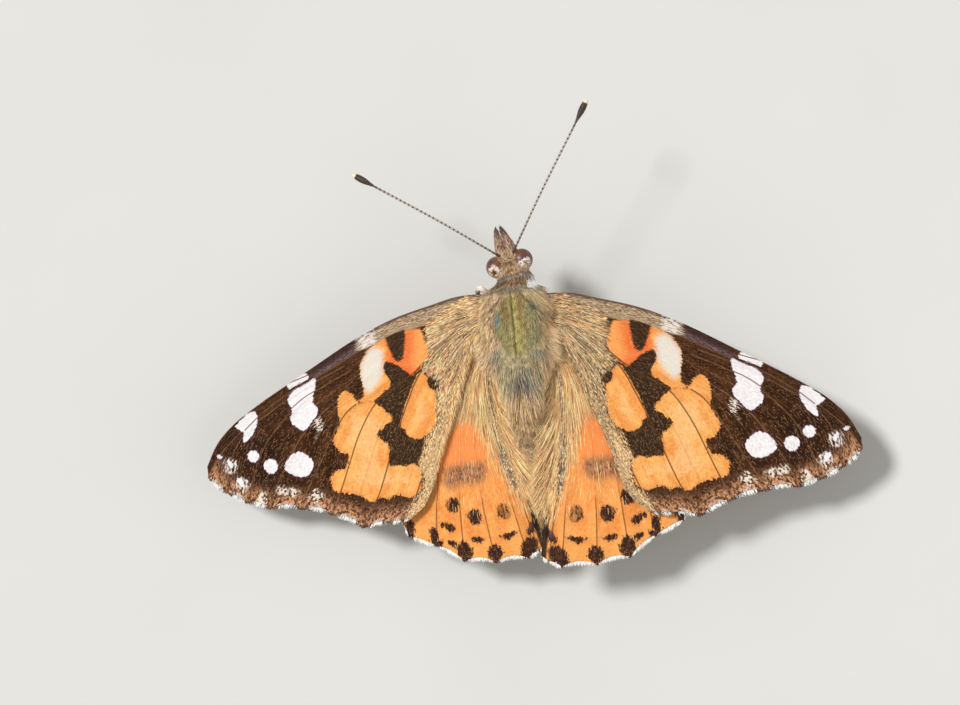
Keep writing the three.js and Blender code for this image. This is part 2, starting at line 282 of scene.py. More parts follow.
flat_floor(2.0)
lamp("key", 3.1, 12, (0.45, -0.35, -1.0))
lamp("fill", 0.65, 60, (-0.7, 0.3, -0.6))
world = bpy.data.worlds.new("studio")
world.use_nodes = True
world.node_tree.nodes["Background"].inputs["Color"].default_value = ink(244, 242, 236)
world.node_tree.nodes["Background"].inputs["Strength"].default_value = 0.54
bpy.context.scene.world = world
bpy.context.scene.view_settings.view_transform = "Standard"

# %% [markdown]
# Most shapes here follow smooth lines through a few places: the veins, the outlines of the markings, the
# feelers and legs. A centripetal Catmull-Rom line passes through every place without loops or overshoot.

# %% Smooth lines
def smooth_line(points, count, closed=False):
    """count places evenly spaced along a smooth line through points, of any number of axes.

    Each stretch is a cubic through its two points. Its slopes there weigh the chords before and after by
    the square roots of their lengths, and at an open end the last chord is carried on.
    """
    points = np.asarray(points, float)
    if closed:
        points = np.vstack([points[-1], points, points[:2]])
    else:
        points = np.vstack([2 * points[0] - points[1], points, 2 * points[-1] - points[-2]])
    steps = np.diff(points, axis=0)
    gaps = np.sqrt(np.linalg.norm(steps, axis=1))[:, None]
    before, here, after = gaps[:-2], gaps[1:-1], gaps[2:]
    first, last = points[1:-2], points[2:-1]
    slope_in = here * (steps[:-2] / before - (last - points[:-3]) / (before + here) + steps[1:-1] / here)
    slope_out = here * (steps[1:-1] / here - (points[3:] - first) / (here + after) + steps[2:] / after)
    t = np.linspace(0, 1, 24, endpoint=False)[None, :, None]
    curve = ((2 * t**3 - 3 * t**2 + 1) * first[:, None] + (t**3 - 2 * t**2 + t) * slope_in[:, None]
             + (3 * t**2 - 2 * t**3) * last[:, None] + (t**3 - t**2) * slope_out[:, None])
    curve = np.vstack([curve.reshape(-1, points.shape[1]), last[-1]])
    along = np.concatenate([[0], np.cumsum(np.linalg.norm(np.diff(curve, axis=0), axis=1))])
    wanted = np.linspace(0, along[-1], count, endpoint=not closed)
    return np.column_stack([np.interp(wanted, along, axis) for axis in curve.T])


def length_of(line):
    return np.linalg.norm(np.diff(line, axis=0), axis=1).sum()


print("a quarter turn's length:", round(length_of(smooth_line([(1, 0), (0.71, 0.71), (0, 1)], 50)), 3))

# %% [markdown]
# Every piece reaches Blender the same way. A shape is a small record of arrays: places in mm, faces, a flat
# map for the colours' export, and fields that the materials read. Shapes can be joined, so that a leg and
# its spines are one piece, and one function turns a shape into a mesh that rides on the body.

# %% Shapes and pieces
def shape_of(places, faces, flat_map, **fields):
    """Faces are a list of arrays with as many columns as a face has corners; flat_map goes with them."""
    return {"places": np.asarray(places, float).reshape(-1, 3), "faces": faces, "flat_map": flat_map,
            "fields": fields}


def enclosed(shape):
    """The volume inside: the sum of a.(b x c) / 6 over the triangles of all faces."""
    volume = 0
    for block in shape["faces"]:
        a = shape["places"][block[:, 0]]
        for k in range(1, block.shape[1] - 1):
            volume += (a * np.cross(shape["places"][block[:, k]], shape["places"][block[:, k + 1]])).sum() / 6
    return volume


def joined(*shapes):
    """Several shapes as one: each turned outwards, its corner numbers raised by the places before it."""
    before = np.cumsum([0] + [len(shape["places"]) for shape in shapes])
    step = [1 if enclosed(shape) > 0 else -1 for shape in shapes]
    return {
        "places": np.vstack([shape["places"] for shape in shapes]),
        "faces": [b[:, ::d] + n for shape, d, n in zip(shapes, step, before) for b in shape["faces"]],
        "flat_map": [b[:, ::d] for shape, d in zip(shapes, step) for b in shape["flat_map"]],
        "fields": {key: np.vstack([shape["fields"][key] for shape in shapes]) for key in shapes[0]["fields"]},
    }


def put_piece(name, shape, materials, replaces=(), wears=None, smooth=True):
    """One piece that rides on the body. wears gives each face's material by its number."""
    shape = joined(shape)
    mesh = bpy.data.meshes.new(name)
    mesh.vertices.add(len(shape["places"]))
    mesh.vertices.foreach_set("co", in_metres(shape["places"]).astype(np.float32).ravel())
    corners = np.concatenate([block.ravel() for block in shape["faces"]])
    sizes = np.concatenate([np.full(len(block), block.shape[1]) for block in shape["faces"]])
    mesh.loops.add(len(corners))
    mesh.loops.foreach_set("vertex_index", corners.astype(np.int32))
    mesh.polygons.add(len(sizes))
    mesh.polygons.foreach_set("loop_start", (np.cumsum(sizes) - sizes).astype(np.int32))
    for material in materials:
        mesh.materials.append(material)
    if wears is not None:
        mesh.polygons.foreach_set("material_index", np.asarray(wears, np.int32))
    layer = mesh.uv_layers.new(name="OFBake")
    layer.data.foreach_set("uv", np.concatenate([b.reshape(-1, 2) for b in shape["flat_map"]]).ravel())
    mesh.update(calc_edges=True)
    if smooth:
        mesh.shade_smooth()
    else:
        mesh.shade_flat()
    kinds = {1: ("FLOAT", "value"), 3: ("FLOAT_VECTOR", "vector"), 4: ("FLOAT_COLOR", "color")}
    for key, values in shape["fields"].items():
        kind, item = kinds[values.shape[1]]
        mesh.attributes.new(key, kind, "POINT").data.foreach_set(item, values.astype(np.float32).ravel())
    piece = bpy.data.objects.new(name, mesh)
    bpy.context.scene.collection.objects.link(piece)
    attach(piece, "root")
    if replaces:
        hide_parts(*replaces)
    print(f"{name}: {int((sizes - 2).sum())} triangles")
    return piece

# %% [markdown]
# A butterfly's wing is two membranes pressed together over stiff veins that fan out from the root. The solid
# wing is a plate lofted between those veins, and the finished one follows the same lines, in the same wing
# plane (outwards, then forwards, in mm), with far more rows, so that its surface can carry the pattern.

# %% The veins of the forewing and of the hindwing
forewing_lines = {
    "costa": [(0, 1), (1.7, 1.1), (4.4, 0.6), (8, -0.2), (11.6, -1.5), (17, -4.1), (22.4, -6.8),
              (25.1, -8.4), (26.9, -10), (28.2, -12)],
    "radius": [(0, 0.5), (4.4, -0.6), (8, -1.3), (11.2, -2.6), (16.2, -4.8), (19, -5.9), (23.3, -8.4),
               (26.5, -10.8), (28.3, -13)],
    "radius_5": [(0, 0.3), (4.4, -1), (8.9, -2.1), (12.5, -3.7), (17.5, -5.7), (21.1, -7.5), (24, -9.3),
                 (25.8, -11.7), (26.6, -14.6)],
    "media_1": [(0, 0.1), (4.4, -1.4), (8.9, -2.9), (12.5, -4.4), (16.7, -6.2), (19, -7.7), (22, -10.4),
                (23.8, -13.5), (24.7, -15.7)],
    "media_2": [(0.1, -0.2), (4.4, -2), (8.9, -4), (12.3, -5.9), (16.6, -8.5), (18.5, -10.2), (20.4, -12.7),
                (21.7, -14.8), (22.5, -16.5)],
    "media_3": [(0.1, -0.5), (4.4, -2.6), (8.5, -5.1), (11.6, -7.1), (13.7, -8.3), (15.7, -10.8),
                (17.2, -13.1), (18.5, -15), (19.5, -16.8)],
    "cubitus_1": [(0.1, -0.7), (3.1, -2.3), (5.1, -4), (7.4, -5.8), (10.6, -7.6), (12.7, -10.3), (14.1, -13),
                  (15.3, -15.4), (16.6, -17.6)],
    "cubitus_2": [(0.1, -0.9), (2.6, -2.5), (4.9, -4.4), (6.4, -5.7), (7.7, -7.9), (8.9, -10.2),
                  (10.1, -12.8), (12, -16.7), (13.7, -19.1)],
    "fold": [(0.1, -1.1), (2.6, -3.2), (4.6, -5.4), (5.9, -7.5), (8, -11.5), (9.4, -14.4), (10.3, -16.7),
             (11.1, -18.8)],
    "anal": [(0.1, -1.3), (2.1, -4.2), (3.7, -7.3), (5.5, -11.1), (7.1, -14.4), (8.5, -17.1), (9.8, -18.8)],
    "inner_margin": [(0.1, -1.5), (1.7, -4.5), (3.5, -8.6), (5.3, -12.6), (6.7, -16.4), (7.7, -17.8),
                     (9, -18.7)],
}
hindwing_lines = {
    "costa": [(0, 1), (4.2, 0.3), (8.5, -2.4), (11.6, -6.8), (12.8, -11.4), (12.5, -14.6)],
    "radius": [(0, 0.6), (4.2, -0.9), (8.2, -4.8), (11, -9.9), (12.2, -15.6)],
    "media_1": [(0, 0.3), (3.8, -2.4), (7.4, -7.2), (10.1, -12.1), (12, -16.8)],
    "media_2": [(0, 0.1), (3.3, -3.6), (6.2, -8.5), (8.3, -13.9), (9.5, -18.2)],
    "media_3": [(0, -0.2), (2.9, -4.5), (5, -9.4), (6.2, -14.8), (7.1, -20.2)],
    "cubitus_1": [(0, -0.4), (2.3, -5), (3.5, -9.9), (4, -15.7), (4.1, -20.9)],
    "cubitus_2": [(0, -0.7), (1.4, -5), (1.7, -10.3), (1.2, -16.2), (0.9, -21.1)],
    "anal": [(-0.1, -1), (1, -5.8), (1, -10.3), (0.3, -15.7), (-0.3, -20.6)],
    "inner_margin": [(-0.1, -1.2), (0.3, -5.8), (0.3, -8.5), (-0.25, -12.5), (-0.85, -16.6), (-0.95, -20.1)],
}
forewing_bays = [0, 0, 0.1, 0.2, 0.4, 0.35, 0.3, 0.2, 0, 0]
hindwing_bays = [0, 0.1, 0.1, 0.25, 0.4, 0.4, 0.1, 0]

# %% The wing's flat sheet
def wing_sheet(lines, bays, rows, between):
    """The flat wing as a grid of places in its plane, with fields that the pattern is drawn from.

    Row r lies at one share of every line's length. Between two lines a column is a straight mix of them,
    drawn back from the edge by the bay's depth times 4t(1-t) times the sixth power of the share.
    """
    fine = [smooth_line(points, 400) for points in lines.values()]
    ticks = np.linspace(0, 1, 400)
    share = np.linspace(0, 1, rows)[:, None]
    plane, lateral, arch = [], [], []
    for k, bay in enumerate(bays):
        is_last = k == len(bays) - 1
        t = np.linspace(0, 1, between, endpoint=is_last)
        drawn = share - bay / length_of(fine[k]) * 4 * t * (1 - t) * share**6
        one, other = [np.stack([np.interp(drawn, ticks, axis) for axis in line.T], axis=-1)
                      for line in fine[k:k + 2]]
        plane.append(one * (1 - t)[:, None] + other * t[:, None])
        lateral.append(k + t)
        arch.append(4 * t * (1 - t))
    plane = np.concatenate(plane, axis=1)
    lateral = np.concatenate(lateral)
    sheet = {"plane": plane, "share": np.repeat(share, plane.shape[1], axis=1)}
    sheet["across"] = np.repeat(lateral[None], rows, axis=0)
    sheet["arch"] = np.repeat(np.concatenate(arch)[None], rows, axis=0)
    sheet["length"] = length_of(fine[len(bays) // 2])
    return sheet


forewing = wing_sheet(forewing_lines, forewing_bays, rows=160, between=18)
hindwing = wing_sheet(hindwing_lines, hindwing_bays, rows=130, between=18)
print("forewing grid:", forewing["plane"].shape, " hindwing grid:", hindwing["plane"].shape)

# %% [markdown]
# Each mark of the pattern is a small closed outline. Instead of an image, every point of the wing stores how
# deep it lies inside the marks of each kind, in mm. The material then draws the edge where that depth is
# zero and roughens it with noise, so that the edge stays as sharp as real scales at any distance.

# %% Depth inside an outline and distance from a line
field_reach = 1.6


def nearest(points, starts, ends):
    """Distance from each point to the nearest of some straight stretches, each clamped to its ends."""
    steps = ends - starts
    offset = points[:, None] - starts[None]
    share = np.clip((offset * steps).sum(-1) / (steps**2).sum(-1), 0, 1)
    return np.linalg.norm(offset - share[..., None] * steps, axis=-1).min(axis=1)


def depth_inside(plane, outlines):
    """How deep each place lies in the deepest of the closed outlines: positive inside, in mm.

    The size is the distance to the outline. The sign is positive where a line drawn outwards from the
    place crosses the outline an odd number of times.
    """
    points = plane.reshape(-1, 2)
    deepest = np.full(len(points), -field_reach)
    for outline in outlines:
        close = ((points > outline.min(0) - field_reach) & (points < outline.max(0) + field_reach)).all(1)
        p = points[close]
        ahead = np.roll(outline, -1, axis=0)
        distance = nearest(p, outline, ahead)
        rises = (outline[:, 1] > p[:, 1:]) != (ahead[:, 1] > p[:, 1:])
        slope = (ahead[:, 0] - outline[:, 0]) / (ahead[:, 1] - outline[:, 1] + 1e-9)
        meets = outline[:, 0] + slope * (p[:, 1:] - outline[:, 1])
        inside = (rises & (p[:, :1] < meets)).sum(axis=1) % 2 == 1
        deepest[close] = np.maximum(deepest[close], np.where(inside, distance, -distance))
    return deepest.reshape(plane.shape[:2])


def distance_from(plane, lines, reach=field_reach):
    """Distance from each place to the nearest of some open lines, in mm and no more than the reach."""
    points = plane.reshape(-1, 2)
    closest = np.full(len(points), float(reach))
    for line in lines:
        close = ((points > line.min(0) - reach) & (points < line.max(0) + reach)).all(1)
        closest[close] = np.minimum(closest[close], nearest(points[close], line[:-1], line[1:]))
    return closest.reshape(plane.shape[:2])


def patch(*points):
    """A mark: a smooth closed outline through a few places of the wing plane."""
    return smooth_line(points, 5 * len(points), closed=True)


def oval(centre, across, along, tilt=0):
    """A mark with an oval outline: half-widths across and along, turned by tilt degrees."""
    angle = np.linspace(0, 2 * math.pi, 24, endpoint=False)
    x, y = across * np.cos(angle), along * np.sin(angle)
    c, s = math.cos(math.radians(tilt)), math.sin(math.radians(tilt))
    return np.column_stack([centre[0] + c * x - s * y, centre[1] + s * x + c * y])


print("points in a round mark:", len(oval((0, 0), 1, 1)))

# %% [markdown]
# The forewing's marks, read off the right wing: orange patches in and behind the cell, black marks over
# them, white marks near the tip with small white spots, and a grizzled tan area that covers the base.

# %% Marks of the forewing
cell_patch = patch((5.7, -1.5), (7.3, -1.5), (9.1, -1.7), (9.1, -2.9), (9.2, -4.1), (8.7, -4.4), (8, -4.9),
                   (7.8, -5.6), (7.4, -5.7), (6.7, -5.4), (5.8, -4.7), (5.2, -4), (5.1, -3.2), (5.4, -2.4))
cell_bar = patch((8.9, -2.5), (9.3, -2.1), (9.9, -2.2), (10.6, -2.6), (11.2, -3.1), (11.6, -3.7),
                 (11.9, -4.5), (11.9, -5.4), (11.8, -6.2), (11.9, -6.9), (12.4, -7.5), (11.6, -7.6),
                 (10.7, -7.5), (10, -6.9), (9.3, -6.5), (9.1, -5.9), (9.2, -5.5), (9.5, -5.1), (9.6, -4.4),
                 (9.3, -4), (8.8, -3.2))
bar_core = patch((9.9, -3), (10.4, -2.9), (10.9, -3.2), (11.4, -3.9), (11.7, -4.9), (11.7, -6),
                 (11.2, -6.4), (10.5, -5.8), (10, -5), (9.9, -4.2), (9.8, -3.6))
basal_patch = patch((5.6, -5.9), (6.2, -5.4), (6.9, -6.2), (7.6, -7.4), (8.1, -8.3), (8.8, -10.1),
                    (8.4, -10.5), (8.3, -11), (7.9, -11.3), (7.4, -11.6), (6.8, -11.4), (6.2, -11.1),
                    (5.4, -10.2), (5.1, -8.8), (5, -7.6), (5.1, -7.1), (5.6, -6.7))
discal_patch = patch((11, -7.6), (12.5, -7.5), (13, -6.7), (13.7, -6.3), (14.2, -6.8), (14.5, -7.5),
                     (14.6, -8.4), (14.5, -9.2), (15.1, -10.1), (15.4, -10.9), (15.2, -11.5), (14.8, -12),
                     (14.2, -12.2), (14.2, -12.7), (14.7, -13.5), (15.4, -13.6), (16.1, -14), (16.3, -14.8),
                     (16.1, -15.4), (14.9, -15.8), (13.5, -16.2), (12.9, -16.8), (12.3, -16.8), (11.5, -16.5),
                     (10.8, -16.7), (10.2, -16.4), (9.6, -16.5), (8.8, -16.8), (7.8, -16.3), (7.5, -15.3),
                     (7.4, -14.3), (8.3, -13.5), (10, -13.2), (10, -12.2), (9.8, -11), (9.4, -9.7),
                     (9.3, -9), (10.2, -8.2))
cell_spot = patch((7.3, -1.3), (9.1, -1.5), (9, -2.4), (8.8, -3.2), (8.5, -3.9), (8.1, -4.2), (7.7, -3.9),
                  (7.4, -3.1))
dark_band = patch((7.8, -4.9), (8.3, -4.5), (8.9, -4.2), (9.4, -4.2), (9.6, -4.7), (9.4, -5.3), (9.1, -5.7),
                  (9.2, -6.4), (9.8, -6.9), (10.5, -7.3), (10.9, -7.6), (10.2, -8.2), (9.8, -8.8),
                  (9.4, -9.2), (9.8, -9.7), (10.3, -10), (10.7, -10.3), (11, -10.7), (10.8, -11.2),
                  (10.2, -11.6), (10.1, -12.1), (10.3, -12.8), (10.3, -13.6), (9.6, -13.7), (8.7, -13.8),
                  (8, -13.6), (7.4, -13.2), (7, -12.6), (6.7, -12), (6.5, -11.5), (7.3, -11.5), (7.9, -11.3),
                  (8.3, -11), (8.4, -10.5), (8.9, -10.3), (8.4, -8.9), (8, -7.9), (7.6, -7.2), (7, -5.8))
basal_spot = patch((4.6, -6), (5.4, -5.9), (5.6, -6.2), (5.5, -6.8), (5.1, -7.1), (4.8, -6.7))
white_marks = [
    patch((16.8, -4.6), (17.5, -4), (18.1, -4.1), (18.9, -4.6), (19.1, -5.2), (18.9, -5.5), (18.3, -5.3),
          (17.5, -5)),
    patch((16.2, -4.8), (16.8, -5), (17.7, -5.4), (18.6, -5.8), (19.1, -6.4), (19.1, -6.8), (18.9, -7.2),
          (18.8, -7.6), (19.1, -8.1), (19, -8.7), (18.6, -9.1), (17.9, -9.5), (17.4, -9.2), (16.8, -8.5),
          (16.4, -8), (16.3, -7.6), (16.7, -7), (16.6, -6.4), (16.3, -5.6)),
    patch((17.5, -12.6), (18, -11.8), (18.8, -11.4), (19.5, -11.7), (20.1, -12.2), (20.3, -12.9),
          (19.7, -13.5), (18.8, -13.8), (18, -13.5)),
    patch((22.6, -7.2), (23.3, -7.4), (24.2, -8), (24.7, -8.5), (24.2, -8.9), (23.9, -9.1), (24, -9.5),
          (24.1, -10), (23.5, -9.7), (22.9, -9.1), (22.5, -8.4), (22.4, -7.8)),
    oval((21.7, -12.5), 0.68, 0.68), oval((23.3, -11.4), 0.58, 0.58),
    oval((26.7, -11.1), 0.3, 0.2, 20), oval((25.7, -11.9), 0.22, 0.5, -25),
    oval((24.9, -13.7), 0.26, 0.5, -30),
]
cream_marks = [oval((21.1, -15), 0.35, 0.3), oval((20.2, -15.2), 0.4, 0.22),
               oval((17.9, -15.8), 0.45, 0.3, -20),
               oval((25, -14), 0.5, 0.5), oval((25.9, -12.2), 0.5, 0.5), oval((23.2, -15.5), 0.3, 0.3),
               oval((16.75, -9.1), 0.22, 0.5, -10)]
pale_streak = smooth_line([(16.5, -8.7), (16.7, -9.6), (17.1, -10.4)], 20)
tan_area = patch((0, 1.2), (2.5, 0.2), (4.8, -1.1), (5, -2.7), (5, -4), (5.8, -5.1), (5.3, -5.8), (4.7, -6.5),
                 (5, -8.1), (5.2, -9.6), (5.6, -10.6), (6.4, -11.5), (6.9, -12.6), (7.5, -13.8),
                 (7.3, -14.8), (7.6, -16.3), (8.5, -17.1), (9.4, -18.4), (8.6, -19.6), (6, -17.6),
                 (3, -10), (-0.5, -2.5))
forewing_cuts = [smooth_line(points, 20) for points in (
    [(17, -4.5), (19.2, -5.1)], [(16.5, -6), (17.8, -6.6), (19.2, -7.5)], [(22.3, -7.7), (24, -9)])]

# %% [markdown]
# The hindwing is orange with a row of round spots between its veins, a row of crescents, and dark triangles
# where the veins reach the edge. Near the body its inner corner holds a lilac spot set in black.

# %% Marks of the hindwing
hindwing_spots = [((6.9, -14.7), 0.62, 0.75, 20), ((5.1, -16.2), 0.68, 0.76, 0),
                  ((2.2, -16.3), 0.66, 0.82, 0),
                  ((7.75, -16.8), 0.55, 0.42, 35), ((9.5, -17.2), 0.42, 0.86, 14)]
spot_marks = [oval(*spot) for spot in hindwing_spots] + [oval((8.35, -16.4), 0.36, 0.3, 30)]
crescents = [
    patch((4.4, -18.5), (4.9, -18.8), (5.5, -18.7), (6.2, -18.2), (5.5, -18.15), (5.2, -18.2), (4.9, -18.35)),
    patch((1.4, -18.5), (2, -18.9), (2.5, -18.95), (3.1, -18.6), (2.7, -18.4), (2.2, -18.35), (1.9, -18.4)),
    patch((7.3, -18.4), (7.8, -18.65), (8.2, -18.4), (8.3, -18), (7.8, -18.1))]
edge_triangles = [
    patch((6.1, -19.1), (6.9, -18.2), (7.6, -19.1), (7.3, -20.3), (6.9, -20.6), (6.5, -20.1)),
    patch((3.2, -19.8), (4, -19.1), (4.7, -19.8), (4.5, -20.7), (4, -21), (3.6, -20.7)),
    patch((-0.3, -19.4), (0.6, -19.2), (1.5, -20.2), (1.4, -21), (0.8, -21.3), (0, -20.8)),
    patch((11.1, -15.6), (11.7, -15.3), (12.2, -16), (12.2, -17), (11.7, -17.1), (11.3, -16.4)),
    patch((8.8, -17.9), (9.4, -17.7), (9.9, -18), (9.6, -18.7), (9.2, -18.7))]
lilac_spot = oval((0, -18.3), 0.42, 0.16, -55)
lilac_surround = oval((-0.1, -18.3), 0.8, 0.4, -50)
grey_smudge = patch((2.9, -11.4), (4.4, -11.1), (6.8, -11.2), (7.2, -12.2), (6.9, -13.1), (5.5, -12.9),
                    (4.3, -13.2), (3.1, -12.8))
red_area = patch((2.7, -7), (4.4, -7), (6.5, -9), (7.5, -12), (6.5, -12), (5.2, -11.2), (3.1, -11.3),
                 (2.7, -9.4))
print("hindwing marks:", len(spot_marks) + len(crescents) + len(edge_triangles) + 3)

# %% [markdown]
# With the marks listed, both wings get their fields: how deep each point lies in each kind of mark, how far
# it is from a vein and from the outer edge, and a flow that runs along the wing in mm for the lie of scales.
# The haze is where the body's long hairs lie over the hindwing: near its inner margin and near its root.

# %% Fields of both wings
vein_points = 60
white_step = np.array([0.2, -0.1])


def add_fields(sheet, lines, veins_from, **marks):
    """Depths in the marks, distances to veins and edge, and the flow: mm along the wing, and lateral place.

    A vein is drawn only from a share of its line on, since near the root the veins are one.
    """
    for kind, outlines in marks.items():
        sheet[kind] = depth_inside(sheet["plane"], outlines)
    veins = [smooth_line(lines[name], vein_points)[int(start * (vein_points - 1)):]
             for name, start in veins_from.items()]
    sheet["vein"] = distance_from(sheet["plane"], veins)
    sheet["edge"] = distance_from(sheet["plane"], [sheet["plane"][-1, ::2]], reach=6)
    sheet["flow"] = np.stack([sheet["share"] * sheet["length"], sheet["across"] * 2, 0 * sheet["share"]], -1)


add_fields(
    forewing, forewing_lines, {"costa": 0, "radius": 0, "radius_5": 0.45, "media_1": 0.45, "media_2": 0.56,
                               "media_3": 0.56, "cubitus_1": 0, "cubitus_2": 0.2, "anal": 0},
    orange=[cell_patch, cell_bar, basal_patch, discal_patch], red=[cell_patch], core=[bar_core],
    black=[cell_spot, dark_band, basal_spot], white=[mark + white_step for mark in white_marks],
    tan=[tan_area], cream=cream_marks, hairless=[basal_spot])
forewing["cut"] = distance_from(forewing["plane"], forewing_cuts)
forewing["streak"] = distance_from(forewing["plane"], [pale_streak])
add_fields(
    hindwing, hindwing_lines, {"radius": 0, "media_1": 0.3, "media_2": 0.3, "media_3": 0.3, "cubitus_1": 0,
                               "cubitus_2": 0.2, "anal": 0},
    black=spot_marks + crescents + edge_triangles + [lilac_surround], lilac=[lilac_spot],
    smudge=[grey_smudge], red=[red_area])
outwards, forwards = np.moveaxis(hindwing["plane"], -1, 0)
rings = [np.hypot(outwards - centre[0], forwards - centre[1]) / half_length
         for centre, _, half_length, _ in hindwing_spots]
hindwing["ring"] = np.minimum(np.min(rings, axis=0), 4)
hindwing["haze"] = np.maximum(2.1 + 0.26 * (forwards + 7.7) - outwards, 0.9 * (forwards + 6))
print("deepest orange on the forewing:", round(float(forewing["orange"].max()), 2), "mm")

# %% [markdown]
# A wing's colour comes from scales that lie like roof tiles, each of one colour. The wing paints start from
# cells a scale in size, stretched along the flow: they vary the shade, raise a fine bump, and together with
# streaky noise they roughen the edges of the marks the way single scales do.

# %% Scales shared by the wing paints
scale_length, scale_width = 0.2, 0.1
fleck_length, fleck_width = 0.2, 0.065
scale_shadow = 0.22


class WingPaint(Paint):
    """A paint that begins with the fields and scales which every wing face uses."""

    def __init__(self, name):
        super().__init__(name, Specular_IOR_Level=0.06)
        self.edge, self.across, self.arch, self.vein = [
            self.field(key) for key in ("edge", "across", "arch", "vein")]
        self.flow = self.field("flow", 1)
        self.along = self.node("ShaderNodeSeparateXYZ", inputs={0: self.flow}, output=0)
        self.grain, self.ridge = self.cells(self.stretched(self.flow, 1 / scale_length, 1 / scale_width, 1))
        self.streak = self.noise(self.stretched(self.flow, 1.3, 6, 1), 3)
        self.drift = self.noise(self.stretched(self.flow, 0.35, 0.8, 1))
        flecks, middle = self.cells(self.stretched(self.flow, 1 / fleck_length, 1 / fleck_width, 1))
        self.sparkle = self.rise(flecks + (self.streak - 0.5) * 0.8, 0.6, 1.05) * self.rise(middle, 0.7, 0.2)
        self.ragged = (self.streak - 0.5) * 0.5 + (self.grain - 0.5) * 0.16
        self.veins = self.fall(self.vein, 0.025, 0.1)

    def mark(self, name, soft=0.05, wobble=1.0, grow=0.0):
        """1 inside the marks of a kind and 0 outside, with an edge that the scales make ragged."""
        return self.rise(self.field(name) + self.ragged * wobble + grow, -soft, soft)

    def varied(self, dark, light):
        """A colour between dark and light, different for each scale."""
        return self.mix(dark, light, self.grain)

    def done(self, colour, *covers):
        """The layers as the base colour, a little darkened, over the bump and gloss of the scales."""
        self.bump(self.grain * 0.6 + (1 - self.ridge) * 0.6 + self.streak * 1.5, 0.03, 0.55)
        return self.finish(self.mix(self.layers(colour, *covers), ink(0, 0, 0), scale_shadow),
                           self.grain * 0.25 + 0.5)


print("a scale is", scale_length, "by", scale_width, "mm")
